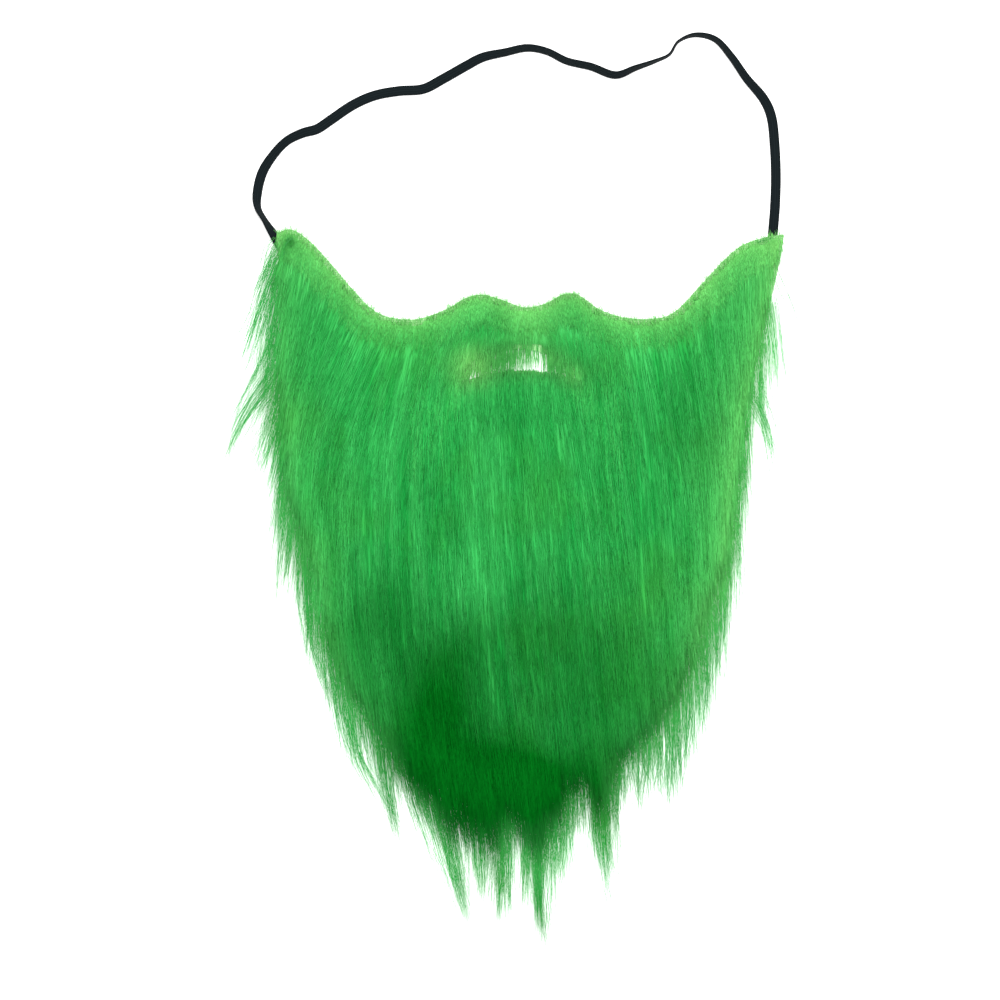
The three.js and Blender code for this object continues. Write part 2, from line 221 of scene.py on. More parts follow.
# %% [markdown]
# ## The cut of the cloth
#
# The edge is drawn once, as shares of the fur's width and length: along the cheeks and the upper lip,
# and round the chin. The mouth slit is two arcs from corner to corner. The same lines keep the roots of
# the fibres on the cloth.

# %% Edge and slit
TOP_EDGE = [
    (-0.414, 0.492), (-0.387, 0.497), (-0.354, 0.48), (-0.318, 0.45), (-0.28, 0.415), (-0.245, 0.386),
    (-0.21, 0.373), (-0.16, 0.371), (-0.108, 0.385), (-0.075, 0.4), (-0.045, 0.405), (-0.01, 0.398),
    (0.032, 0.387), (0.07, 0.393), (0.1, 0.405), (0.128, 0.405), (0.165, 0.385), (0.21, 0.373),
    (0.26, 0.371), (0.3, 0.38), (0.345, 0.416), (0.385, 0.45), (0.421, 0.474), (0.46, 0.485), (0.498, 0.49),
]
LOWER_EDGE = [
    (0.498, 0.49), (0.487, 0.44), (0.453, 0.327), (0.406, 0.157), (0.344, -0.015), (0.25, -0.14),
    (0.128, -0.215), (0.01, -0.235), (-0.1, -0.21), (-0.21, -0.145), (-0.308, -0.023), (-0.365, 0.13),
    (-0.392, 0.29), (-0.408, 0.42), (-0.414, 0.492),
]
MOUTH_MIDDLE = np.array([0.025 * FUR_WIDTH, 0.281 * FUR_LENGTH])
MOUTH_WIDTH = 60 * MM
MOUTH_GAP = 11 * MM
MOUTH_ARCH = 6 * MM


def on_fur(shares):
    return np.asarray(shares, float) * (FUR_WIDTH, FUR_LENGTH)


def slit_line(steps):
    """The slit's rim: along the lip edge and back along the moustache edge."""
    share = np.arange(steps) / steps
    bulge = 4 * share * (1 - share)
    x = (share - 0.5) * MOUTH_WIDTH
    lip = np.stack([x, bulge * MOUTH_ARCH], 1)
    moustache = np.stack([-x, bulge * (MOUTH_ARCH + MOUTH_GAP)], 1)
    return MOUTH_MIDDLE + np.vstack([lip, moustache])


top_line = smooth_line(on_fur(TOP_EDGE), 6)
lower_line = smooth_line(on_fur(LOWER_EDGE), 6)
cloth_line = np.vstack([top_line[:-1], lower_line[:-1]])
slit_rim = slit_line(16)
slit_loop = np.vstack([slit_rim, slit_rim[:1]])


def inside(loop, places):
    """Which places lie inside a closed loop: a ray to the right crosses it an odd number of times."""
    found = np.zeros(len(places), bool)
    for (ax, ay), (bx, by) in zip(loop, np.roll(loop, -1, axis=0)):
        if ay == by:
            continue
        spans = (places[:, 1] > min(ay, by)) & (places[:, 1] <= max(ay, by))
        found ^= spans & (places[:, 0] < ax + (places[:, 1] - ay) * (bx - ax) / (by - ay))
    return found


def distance_to(line, places):
    """How far each place is from a line of short pieces."""
    start, run = line[:-1], np.diff(line, axis=0)
    nearest = np.full(len(places), 9.0)
    for a, d in zip(start, run):
        share = np.clip(((places - a) @ d) / max(d @ d, 1e-18), 0, 1)
        nearest = np.minimum(nearest, np.linalg.norm(places - a - share[:, None] * d, axis=1))
    return nearest


print("cloth edge:", len(cloth_line), "points, slit:", len(slit_rim))

# %% [markdown]
# ## The knit back
#
# The edge and the slit are drawn as edges, filled with triangles, and cut into strips both ways so that
# the flat cloth can bend where it rides over the strap's ends. Extruding it gives the cloth its thickness.

# %% Backing cloth
CLOTH_THICKNESS = 1.4 * MM
CUT_SPACING = 7 * MM
TAB_LIFT = 1.5 * MM
LIFT_CORE = 3.2 * MM
LIFT_REACH = 7 * MM


def closed_edges(bm, line):
    corners = [bm.verts.new((x, y, 0)) for x, y in line]
    return [bm.edges.new((a, b)) for a, b in zip(corners, corners[1:] + corners[:1])]


def tab_lift(places):
    """The cloth rides over both ends of the strap."""
    ends = [strap_middle[: 2 * STRAP_STEPS, :2], strap_middle[-2 * STRAP_STEPS :, :2]]
    apart = np.minimum(distance_to(ends[0], places), distance_to(ends[1], places))
    return TAB_LIFT * (1 - ease(LIFT_CORE, LIFT_REACH, apart))


def backing_mesh():
    bm = bmesh.new()
    rims = closed_edges(bm, cloth_line) + closed_edges(bm, slit_rim)
    bmesh.ops.triangle_fill(bm, edges=rims, use_beauty=True)
    low, high = cloth_line.min(0), cloth_line.max(0)
    for axis in (0, 1):
        normal = (1, 0, 0) if axis == 0 else (0, 1, 0)
        for at in np.arange(low[axis] + CUT_SPACING / 2, high[axis], CUT_SPACING):
            where = (at, 0, 0) if axis == 0 else (0, at, 0)
            everything = bm.verts[:] + bm.edges[:] + bm.faces[:]
            bmesh.ops.bisect_plane(bm, geom=everything, plane_co=where, plane_no=normal)
    bmesh.ops.recalc_face_normals(bm, faces=bm.faces)
    upper = bmesh.ops.extrude_face_region(bm, geom=bm.faces[:])["geom"]
    raised = [v for v in upper if isinstance(v, bmesh.types.BMVert)]
    bmesh.ops.translate(bm, vec=(0, 0, CLOTH_THICKNESS), verts=raised)
    lift = tab_lift(np.array([v.co[:2] for v in bm.verts]))
    for v, rise in zip(bm.verts, lift):
        v.co.z += rise
    bmesh.ops.recalc_face_normals(bm, faces=bm.faces)
    return mesh_from(bm, "knit_backing")


backing = new_object("knit_backing", backing_mesh())

# %% [markdown]
# ## How deep the pile is
#
# Rays cast down on the solid fur give its height over the table on a fine net. The net is smoothed a
# little, because fibres lie over small steps. Every fibre then reads the height under it, so the loose
# fibres keep the form of the solid locks. Where the cloth was cut, at the top edge and round the slit,
# the pile starts short, so the net rolls down to the cloth there.

# %% Pile height
NET = 1.5 * MM
fur_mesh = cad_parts[FUR_NODE].data
fur_tree = BVHTree.FromPolygons(
    [v.co for v in fur_mesh.vertices], [tuple(p.vertices) for p in fur_mesh.polygons]
)
net_low = np.array(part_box(FUR_NODE)[0][:2]) - 6 * NET
net_high = np.array(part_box(FUR_NODE)[1][:2]) + 6 * NET
net_x = np.arange(net_low[0], net_high[0], NET)
net_y = np.arange(net_low[1], net_high[1], NET)
pile_net = np.zeros((len(net_x), len(net_y)))
for i, x in enumerate(net_x):
    for j, y in enumerate(net_y):
        hit = fur_tree.ray_cast(Vector((x, y, 0.1)), Vector((0, 0, -1)))[0]
        pile_net[i, j] = hit.z if hit else 0


def smoothed(net, rounds):
    for _ in range(rounds):
        net = (np.roll(net, 1, 0) + net + np.roll(net, -1, 0)) / 3
        net = (np.roll(net, 1, 1) + net + np.roll(net, -1, 1)) / 3
    return net


CUT_HEIGHT = 2.4 * MM
CUT_REACH = 8 * MM
# the pile round the slit reaches its full height in so many times less cloth
SLIT_STEEPER = 3.5
knots = np.stack(np.meshgrid(net_x, net_y, indexing="ij"), 2).reshape(-1, 2)
from_cut = np.minimum(distance_to(top_line, knots), SLIT_STEEPER * distance_to(slit_loop, knots))
from_cut = from_cut.reshape(pile_net.shape)
swell = ease(0, CUT_REACH, from_cut) ** 0.6
pile_net = smoothed(np.minimum(pile_net, CUT_HEIGHT + (pile_net - CUT_HEIGHT) * swell), 2)


def pile_height(places):
    """The height of the pile at each place, between the four nearest knots of the net."""
    grid = (places - net_low) / NET
    i = np.clip(grid[..., 0].astype(int), 0, len(net_x) - 2)
    j = np.clip(grid[..., 1].astype(int), 0, len(net_y) - 2)
    u, v = np.clip(grid[..., 0] - i, 0, 1), np.clip(grid[..., 1] - j, 0, 1)
    near = pile_net[i, j] * (1 - v) + pile_net[i, j + 1] * v
    far = pile_net[i + 1, j] * (1 - v) + pile_net[i + 1, j + 1] * v
    return near * (1 - u) + far * u


print("pile: deepest", round(pile_net.max() / MM, 1), "mm, net", pile_net.shape)

# %% [markdown]
# ## Which way the fibres lie
#
# Each lock runs along a bowed line from the cut edge to its tip. Between two lines the fibres follow a
# mix of both, so any fibre has a place across the locks and a share of the way down.

# %% Flow of the pile
# root x, root y, tip x, tip y and bow, as shares of the fur's width and length
BEARD_LOCKS = [
    (-0.401, 0.451, -0.496, 0.19, 0.006), (-0.39, 0.504, -0.437, 0.254, -0.011),
    (-0.372, 0.504, -0.421, 0.115, -0.007), (-0.347, 0.489, -0.401, 0.005, -0.007),
    (-0.318, 0.461, -0.367, -0.085, -0.018), (-0.279, 0.419, -0.306, -0.213, -0.043),
    (-0.236, 0.391, -0.205, -0.345, -0.052), (-0.189, 0.386, -0.133, -0.376, -0.05),
    (-0.138, 0.389, -0.07, -0.458, -0.038), (-0.088, 0.296, -0.013, -0.433, -0.022),
    (-0.034, 0.31, 0.068, -0.498, -0.013), (0.02, 0.316, 0.095, -0.41, -0.004),
    (0.074, 0.313, 0.183, -0.457, 0.002), (0.128, 0.296, 0.221, -0.34, 0.004),
    (0.178, 0.389, 0.261, -0.306, 0.004), (0.228, 0.386, 0.311, -0.262, 0.007),
    (0.275, 0.388, 0.344, -0.207, 0.009), (0.32, 0.405, 0.369, -0.15, 0.011),
    (0.36, 0.437, 0.39, -0.071, 0.014), (0.397, 0.468, 0.405, 0.028, 0.014),
    (0.437, 0.491, 0.417, 0.132, 0.011), (0.469, 0.502, 0.475, 0.194, 0),
]
MOUSTACHE_LOCKS = [
    (-0.11, 0.398, -0.165, 0.183, -0.013), (-0.085, 0.412, -0.129, 0.21, -0.013),
    (-0.052, 0.42, -0.092, 0.265, -0.007), (-0.02, 0.42, -0.05, 0.297, -0.004),
    (0.007, 0.41, -0.016, 0.307, -0.002), (0.034, 0.402, 0.036, 0.33, 0),
    (0.063, 0.407, 0.085, 0.307, 0.002), (0.09, 0.42, 0.112, 0.292, 0.004),
    (0.121, 0.422, 0.149, 0.262, 0.007), (0.149, 0.412, 0.185, 0.21, 0.011),
    (0.178, 0.398, 0.218, 0.18, 0.011),
]
LINE_STEPS = 60


def lock_lines(rows):
    """One line for each row, in equal steps from root to tip."""
    lines = []
    share = np.linspace(0, 1, 4 * LINE_STEPS)[:, None]
    for root_x, root_y, tip_x, tip_y, bow in rows:
        root, tip = on_fur((root_x, root_y)), on_fur((tip_x, tip_y))
        middle = (root + tip) / 2 + (2 * bow * FUR_WIDTH, 0)
        curve = root * (1 - share) ** 2 + 2 * middle * share * (1 - share) + tip * share**2
        lines.append(even_steps(curve, LINE_STEPS + 1))
    return np.array(lines)


def flow(lines, across, down):
    """The place on the table for a place across the locks and a share of the way down them."""
    i = np.clip(np.floor(across).astype(int), 0, len(lines) - 2)
    j = np.clip(np.floor(down * LINE_STEPS).astype(int), 0, LINE_STEPS - 1)
    u, v = (across - i)[..., None], (down * LINE_STEPS - j)[..., None]
    left = lines[i, j] * (1 - v) + lines[i, j + 1] * v
    right = lines[i + 1, j] * (1 - v) + lines[i + 1, j + 1] * v
    return left * (1 - u) + right * u


beard_lines = lock_lines(BEARD_LOCKS)
moustache_lines = lock_lines(MOUSTACHE_LOCKS)
beard_lengths = np.array([line_length(line) for line in beard_lines])
moustache_lengths = np.array([line_length(line) for line in moustache_lines])
LAST_LOCK = len(BEARD_LOCKS) - 1
look_net = np.meshgrid(np.arange(0, LAST_LOCK + 0.01, 0.125), np.linspace(0, 1, 121))
look_across, look_down = look_net[0].ravel(), look_net[1].ravel()
look_up = KDTree(len(look_across))
for number, (x, y) in enumerate(flow(beard_lines, look_across, look_down)):
    look_up.insert((x, y, 0), number)
look_up.balance()


def located(places):
    """Where places on the table lie in the flow: across the locks and down them."""
    nearest = [look_up.find((x, y, 0))[1] for x, y in places]
    return look_across[nearest], look_down[nearest]


print("locks from", round(beard_lengths.min() / MM), "to", round(beard_lengths.max() / MM), "mm long")

# %% [markdown]
# ## Where the thick pile ends
#
# The thick pile has an outline of its own, inside the outline of the longest tips. Up to this line the
# fibres hide everything below them. Past it only wisps go on, and the table shows between them.

# %% Edge of the thick pile
THICK_EDGE = [
    (-0.425, 0.51), (-0.41, 0.482), (-0.41, 0.454), (-0.407, 0.426), (-0.407, 0.369), (-0.402, 0.341),
    (-0.408, 0.285), (-0.397, 0.256), (-0.39, 0.228), (-0.39, 0.172), (-0.388, 0.115), (-0.378, 0.087),
    (-0.36, 0.059), (-0.344, 0.03), (-0.324, -0.026), (-0.316, -0.083), (-0.304, -0.111),
    (-0.279, -0.167), (-0.245, -0.196), (-0.236, -0.224), (-0.21, -0.252), (-0.196, -0.28),
    (-0.156, -0.309), (-0.131, -0.337), (-0.103, -0.372), (-0.076, -0.383), (-0.049, -0.393),
    (-0.022, -0.405), (0.005, -0.357), (0.032, -0.375), (0.059, -0.4), (0.086, -0.355), (0.113, -0.314),
    (0.14, -0.297), (0.167, -0.344), (0.194, -0.262), (0.221, -0.255), (0.248, -0.23), (0.275, -0.214),
    (0.302, -0.167), (0.329, -0.121), (0.356, -0.033), (0.383, 0.002), (0.387, 0.03), (0.396, 0.087),
    (0.397, 0.115), (0.403, 0.143), (0.405, 0.172), (0.414, 0.2), (0.415, 0.228), (0.426, 0.256),
    (0.432, 0.285), (0.446, 0.313), (0.45, 0.341), (0.46, 0.369), (0.469, 0.398), (0.473, 0.426),
    (0.475, 0.454), (0.486, 0.482), (0.5, 0.5), (0.3, 0.52), (0, 0.5), (-0.3, 0.52),
]
thick_edge = on_fur(THICK_EDGE)
thick_rim = np.vstack([thick_edge, thick_edge[:1]])


def cut_back(lines, across, down, end, past, loose):
    """Fibres end soon after they cross the outline of the thick pile."""
    spare = rng.normal(past, loose, len(across))
    for _ in range(16):
        tip = flow(lines, across, end)
        apart = distance_to(thick_rim, tip)
        over = np.where(inside(thick_edge, tip), -apart, apart) > spare
        end = np.where(over, down + (end - down) * 0.86, end)
    return end


print("thick pile:", len(THICK_EDGE), "points in its outline")

# %% [markdown]
# ## Where shade and light are painted
#
# The dye is one green. The thick lower part is given painted shade, and wherever the pile is thin, along
# its edges and at the parting of the moustache, it is given painted light. Both are kept as values on the
# mesh, worked out from the place. Streaks along the locks come from a net of chance values: fibres that
# lie together share a value, as they do where a tuft turns its side to the light, so the streaks are
# painted sheen over a tone that differs at random.

# %% Painted shade and light
# painted shade: how high on the fur the dark part starts and ends, as shares of its length, and how much
# darker it is; below nothing it is painted light
PAINTED_SHADE_STEPS = [(0.06, -0.1, 0.42), (-0.2, -0.29, 0.5), (-0.31, -0.42, -0.4)]
# painted shade: x and y of the middle and reach to the side and down, as shares of the fur, and how much
# darker it is; below nothing it is painted light. Those by the ear tabs paint the shade of the tacks'
# dimples
PAINTED_SHADE_PATCHES = [
    (-0.12, -0.19, 0.085, 0.09, 0.55), (-0.22, -0.04, 0.06, 0.055, 0.3), (0.07, 0.01, 0.06, 0.03, 0.22),
    (-0.07, -0.1, 0.05, 0.03, 0.15), (0.16, -0.2, 0.05, 0.04, 0.2), (0.25, -0.05, 0.08, 0.06, -0.25),
    (0, -0.27, 0.08, 0.04, 0.2), (-0.04, 0, 0.06, 0.05, -0.12), (0.2, 0.24, 0.1, 0.05, 0.12),
    (0.31, 0.26, 0.04, 0.08, 0.2), (-0.392, 0.478, 0.014, 0.011, 0.9), (-0.401, 0.462, 0.007, 0.009, 0.6),
    (0.464, 0.481, 0.024, 0.005, 0.6), (-0.33, 0.37, 0.08, 0.08, 0.1), (0.36, 0.35, 0.08, 0.08, 0.08),
]
# painted light, with the same columns: paler round the parting of the moustache, by the slit and on the
# cheeks
PAINTED_LIGHT_PATCHES = [
    (0.04, 0.358, 0.045, 0.03, 0.22), (-0.064, 0.304, 0.036, 0.024, 1.1), (0.045, 0.312, 0.05, 0.016, 0.5),
    (0.119, 0.292, 0.022, 0.012, 0.4), (0.36, 0.4, 0.06, 0.03, 0.15), (-0.32, 0.43, 0.05, 0.03, 0.1),
]
PALE_REACH = 5 * MM
SIDE_REACH = 9 * MM
LIP_REACH = 3 * MM
# painted light: how much paler the sides are, how much more so at the upper right, and how much paler the
# slit's rim is
SIDE_PALE, UPPER_RIGHT_PALE, LIP_PALE = 0.28, 0.37, 0.25
# how much of the painted shade is left outside the thick pile, and where that starts and ends
RIM_SHADE_KEPT = 0.25
RIM_FROM, RIM_TO = -8 * MM, 12 * MM


def patches(rows, shares):
    total = np.zeros(len(shares))
    for x, y, wide, tall, amount in rows:
        total += amount * np.exp(-(((shares[:, 0] - x) / wide) ** 2) - ((shares[:, 1] - y) / tall) ** 2)
    return total


def depth_inside(places):
    """How far each place is inside the thick pile; less than nothing outside it."""
    apart = distance_to(thick_rim, places)
    return np.where(inside(thick_edge, places), apart, -apart)


# Painted shade: darker in the thick lower part and in patches, with less of it outside the thick pile.
def painted_shade(places):
    shares = places / (FUR_WIDTH, FUR_LENGTH)
    dark = patches(PAINTED_SHADE_PATCHES, shares)
    for start, end, amount in PAINTED_SHADE_STEPS:
        dark += amount * (1 - ease(end, start, shares[:, 1]))
    return np.clip(dark, 0, 1) * (RIM_SHADE_KEPT + (1 - RIM_SHADE_KEPT) * ease(RIM_FROM, RIM_TO, depth_inside(places)))


# Painted light: paler along the cut edge, the sides and the slit's rim, and in patches where the pile is
# thin.
def painted_light(places):
    shares = places / (FUR_WIDTH, FUR_LENGTH)
    near_side = np.exp(-np.abs(depth_inside(places)) / SIDE_REACH)
    upper_right = ease(-0.3, 0, shares[:, 1]) * ease(-0.2, 0.2, shares[:, 0])
    side = near_side * (SIDE_PALE + UPPER_RIGHT_PALE * upper_right)
    lip = LIP_PALE * np.exp(-distance_to(slit_loop, places) / LIP_REACH)
    top = np.exp(-distance_to(top_line, places) / PALE_REACH)
    return np.clip(top + side + lip + patches(PAINTED_LIGHT_PATCHES, shares), 0, 1)


STREAKS_PER_LOCK = 6
STREAK_ROWS = 7
streak_net = rng.random((LAST_LOCK * STREAKS_PER_LOCK + 2, STREAK_ROWS + 2))


def streaks(across, down):
    """A chance value that changes quickly across the locks and slowly down them."""
    u, v = np.clip(across, 0, LAST_LOCK) * STREAKS_PER_LOCK, np.clip(down, 0, 1) * STREAK_ROWS
    i, j = u.astype(int), v.astype(int)
    u, v = ease(0, 1, u - i), ease(0, 1, v - j)
    near = streak_net[i, j] * (1 - v) + streak_net[i, j + 1] * v
    far = streak_net[i + 1, j] * (1 - v) + streak_net[i + 1, j + 1] * v
    return near * (1 - u) + far * u


# %% [markdown]
# ## One mesh of many fibres
#
# A fibre is a thin three-sided tube that ends in a point. Particle hair would be quicker to make, but it
# isn't a mesh. A loop over thousands of fibres would be slow, so all of them are placed at once in
# arrays: rings of three corners, quads between the rings, a fan at the tip and one face at the root.


# %% Fibre mesh
def ring_frames(centres):
    heading = np.gradient(centres, axis=1)
    heading /= np.linalg.norm(heading, axis=2, keepdims=True) + 1e-12
    side = np.cross(heading, (0, 0, 1))
    side /= np.linalg.norm(side, axis=2, keepdims=True) + 1e-12
    return side, np.cross(side, heading)


def fibre_mesh(name, centres, radius, values):
    """Centres by fibre and step, radii by fibre and step, and named values by fibre or by step."""
    count, steps = centres.shape[:2]
    rings = steps - 1
    side, up = ring_frames(centres)
    turn = np.radians([90, 210, 330])
    offset = side[:, :rings, None] * np.cos(turn)[:, None] + up[:, :rings, None] * np.sin(turn)[:, None]
    corners = centres[:, :rings, None] + offset * radius[:, :rings, None, None]
    stride = 3 * rings + 1
    points = np.concatenate([corners.reshape(count, 3 * rings, 3), centres[:, -1:]], 1)
    points[..., 2] = np.maximum(points[..., 2], 0.1 * MM)
    ring = np.arange(rings - 1)[:, None] * 3
    k = np.arange(3)
    after = (k + 1) % 3
    quads = np.stack([ring + k, ring + after, ring + 3 + after, ring + 3 + k], 2).reshape(-1, 4)
    last = 3 * (rings - 1)
    fans = np.stack([last + k, last + after, np.full(3, stride - 1)], 1)
    root = np.array([[2, 1, 0]])
    start = np.arange(count)[:, None] * stride
    loops = np.concatenate([
        (start + quads.reshape(1, -1)), (start + fans.reshape(1, -1)), (start + root.reshape(1, -1))
    ], 1).ravel()
    sizes = np.tile(np.concatenate([np.full(len(quads), 4), np.full(len(fans) + 1, 3)]), count)
    mesh = bpy.data.meshes.new(name)
    mesh.vertices.add(count * stride)
    mesh.vertices.foreach_set("co", points.ravel())
    mesh.loops.add(len(loops))
    mesh.loops.foreach_set("vertex_index", loops)
    mesh.polygons.add(len(sizes))
    mesh.polygons.foreach_set("loop_start", np.concatenate([[0], np.cumsum(sizes)[:-1]]))
    for key, value in values.items():
        per_step = np.broadcast_to(value if value.ndim == 2 else value[:, None], (count, steps))
        on_points = np.concatenate([np.repeat(per_step[:, :rings], 3, axis=1), per_step[:, -1:]], 1)
        layer = mesh.attributes.new(key, "FLOAT", "POINT")
        layer.data.foreach_set("value", on_points.ravel().astype(np.float32))
    mesh.update(calc_edges=True)
    mesh.shade_smooth()
    return mesh


# %% [markdown]
# ## Growing the long fibres
#
# A fibre is rooted somewhere on the cloth and follows the flow for its length. On its way it draws
# towards the middle of its tuft, and near the tips towards its lock, which gives pointed locks with
# loose fibres between them. On the left cheek the pile was swept towards the ear, so fibres rooted there
# lean that way. Its height follows the pile under it, and it can't drop faster than a springy fibre would.

# %% Growing fibres
FLOOR_REST = 0.35 * MM
# x and y of the middle and reach to the side and down, as shares of the fur, and the lean in degrees
SWEEPS = [(-0.24, 0.35, 0.1, 0.1, -16), (-0.36, 0.4, 0.05, 0.1, -4), (0.3, 0.36, 0.1, 0.08, 3)]


def outside_pile(places):
    """Roots are kept on the cloth and off the slit."""
    return ~inside(cloth_line, places) | inside(slit_rim, places)


def sow(lines, lengths, count, thin_out, root_reach):
    """Roots spread evenly over the cloth: where the lines fan out, more are kept."""
    across, down = np.zeros(0), np.zeros(0)
    gap = np.linalg.norm(np.diff(lines, axis=0), axis=2)
    while len(across) < count:
        a = rng.uniform(-0.25, len(lines) - 0.75, 4 * count)
        d = rng.uniform(0, root_reach, 4 * count)
        i = np.clip(a.astype(int), 0, len(lines) - 2)
        room = gap[i, (d * LINE_STEPS).astype(int)] * lengths[i]
        keep = rng.random(len(a)) * (gap * lengths[:-1, None]).max() < room * thin_out(a, d)
        a, d = a[keep], d[keep]
        ok = ~outside_pile(flow(lines, a, d))
        across, down = np.concatenate([across, a[ok]]), np.concatenate([down, d[ok]])
    return across[:count], down[:count]


def grow(lines, lengths, across, down, look):
    """Centres of the fibres, step by step from root to tip."""
    count, steps = len(across), look["steps"]
    along = np.linspace(0, 1, steps)
    line_run = np.interp(across, np.arange(len(lengths)), lengths)
    hair = np.clip(rng.normal(look["length"], look["length_spread"], count), 0.3 * look["length"], None)
    hair = hair + look.get("longer_below", 0) * ease(0.25, 0.62, down)
    last = look["reach"] - look["notch"] * np.abs(np.sin(np.pi * across))
    last -= rng.exponential(look["shortfall"], count)
    end = np.minimum(down + hair / line_run, np.maximum(last, down + 0.2 * hair / line_run))
    if "loose" in look:
        end = cut_back(lines, across, down, end, look["past"], look["loose"])
    share = down[:, None] + (end - down)[:, None] * along
    tuft = (np.floor(across * look["tufts"]) + rng.random(count) * 0.3 + 0.35) / look["tufts"]
    drawn = across[:, None] + (tuft - across)[:, None] * look["tuft_pull"] * along**2
    lock = np.round(drawn * 2) / 2
    pull = ease(look["lock_from"], 1, share) * rng.uniform(*look["lock_pull"], count)[:, None]
    drawn = drawn + (lock - drawn) * pull
    place = flow(lines, drawn, share)
    reach = (end - down) * line_run
    heading = place[:, -1] - place[:, 0]
    heading /= np.linalg.norm(heading, axis=1)[:, None] + 1e-12
    square = np.stack([-heading[:, 1], heading[:, 0]], 1)
    swept = patches(SWEEPS, place[:, 0] / (FUR_WIDTH, FUR_LENGTH))
    lean = np.tan(np.radians(rng.normal(0, look["stray_angle"], count) + swept))
    curl = rng.normal(0, look["curl"], count)
    sideways = reach[:, None] * (lean[:, None] * along + curl[:, None] * along**2)
    place = place + square[:, None] * sideways[..., None]
    level = look["top_level"] - rng.random(count) ** 1.3 * look["layer_depth"]
    rise = look["root_level"] + (1 - look["root_level"]) * ease(0, look["rise_share"], along)
    height = pile_height(place) * level[:, None] * rise
    height += rng.uniform(0, look["fluff"], count)[:, None] * along
    drop = look["drop"] * reach / (steps - 1)
    for k in range(1, steps):
        height[:, k] = np.maximum(height[:, k], height[:, k - 1] - drop)
    height = np.maximum(height, FLOOR_REST + rng.uniform(0, 1, count)[:, None] * look["pile_up"])
    return np.concatenate([place, height[..., None]], 2), along


# x and y of the middle and half the width and height, as shares of the fur, and the share of fibres missing
BARE_SPOTS = [
    (0.061, 0.308, 0.016, 0.012, 0.8), (0.025, 0.305, 0.022, 0.006, 0.5),
    (-0.062, 0.298, 0.015, 0.012, 0.75), (0.118, 0.287, 0.02, 0.007, 0.3),
]


def thinned(centres):
    """Leaves out most fibres that pass over the bare spots."""
    shares = centres[..., :2] / (FUR_WIDTH, FUR_LENGTH)
    shares = np.concatenate([shares, (shares[:, 1:] + shares[:, :-1]) / 2], 1)
    keep = np.ones(len(centres), bool)
    for x, y, wide, tall, share in BARE_SPOTS:
        over = (((shares[..., 0] - x) / wide) ** 2 + ((shares[..., 1] - y) / tall) ** 2 < 1).any(1)
        keep &= ~over | (rng.random(len(centres)) > share)
    return centres[keep]


def taper(count, steps, thickness, spread, belly):
    """Radius of each fibre at each step: thinner at the root, and thin from the belly to the tip."""
    along = np.linspace(0, 1, steps)
    swell = 0.75 + 0.25 * np.sin(np.pi * np.minimum(along / belly, 1))
    form = swell * (1 - ease(belly, 1.0, along) * 0.85)
    return rng.uniform(1 - spread, 1 + spread, count)[:, None] * thickness / 2 * form


def fibre_piece(name, centres, along, thickness, spread, belly=0.6, lit_tips=0.0):
    count, steps = centres.shape[:2]
    # shade: own tone that differs at random, with streaks of painted sheen
    shade = 0.6 * streaks(*located(centres[:, steps // 2, :2])) + 0.4 * rng.random(count)
    # dark and pale carry painted shade and painted light, and thin fibres get more painted light towards
    # their tips
    pale = np.stack([painted_light(centres[:, k, :2]) for k in range(steps)], 1)
    values = {
        "along": np.broadcast_to(along, (count, steps)),
        "shade": shade,
        "dark": np.stack([painted_shade(centres[:, k, :2]) for k in range(steps)], 1),
        "pale": np.clip(pale + lit_tips * along**2, 0, 1),
    }
    mesh = fibre_mesh(name, centres, taper(count, steps, thickness, spread, belly), values)
    piece = new_object(name, mesh)
    triangles = sum(len(p.vertices) - 2 for p in mesh.polygons)
    print(name + ":", count, "fibres,", triangles, "triangles")
    return piece


# %% [markdown]
# ## The pile of the beard
#
# The body of the fur is three pieces, left, middle and right, because a piece with too many faces is
# slow to handle. Their fibres stand for a few real ones lying together, about half a millimetre wide.

# %% Body fibres
BODY_FIBRES = 18000
BODY_THICKNESS = 0.46 * MM
BODY_LOOK = {
    "steps": 5, "length": 54 * MM, "length_spread": 10 * MM, "reach": 1.0, "notch": 0.08,
    "shortfall": 0.03, "tufts": 4, "tuft_pull": 0.45, "lock_from": 0.68, "lock_pull": (0.1, 0.7),
    "stray_angle": 2.2, "curl": 0.035, "top_level": 1.0, "layer_depth": 0.17, "root_level": 0.6,
    "rise_share": 0.3, "fluff": 0.8 * MM, "drop": 0.45, "pile_up": 1.5 * MM, "past": 0.5 * MM,
    "loose": 2 * MM, "longer_below": 42 * MM,
}
DENSE_START = 14 * MM
LOW_BAND = 45 * MM
# shares of the roots: everywhere, more where the pile begins, more along the lower edge
EVEN_ROOTS, START_ROOTS, LOW_ROOTS = 0.36, 0.5, 0.5


def body_density(across, down):
    """More roots where the pile begins, because no fibres from higher up lie over it there."""
    run = np.interp(across, np.arange(len(beard_lengths)), beard_lengths)
    places = flow(beard_lines, across, down)
    low_down = LOW_ROOTS * ease(LOW_BAND, 0, distance_to(lower_line, places)) * ease(0.3, 0.5, down)
    starting = START_ROOTS * np.exp(-down * run / DENSE_START)
    return inside(thick_edge, places) * (EVEN_ROOTS + starting + low_down)


across, down = sow(beard_lines, beard_lengths, BODY_FIBRES, body_density, 0.93)
body_centres, body_along = grow(beard_lines, beard_lengths, across, down, BODY_LOOK)
body_centres = thinned(body_centres)
order = np.argsort(body_centres[:, 0, 0], kind="stable")
fur_pieces = []
for part, chosen in zip(("left", "middle", "right"), np.array_split(order, 3)):
    fur_pieces.append(fibre_piece("pile_" + part, body_centres[chosen], body_along, BODY_THICKNESS, 0.35))

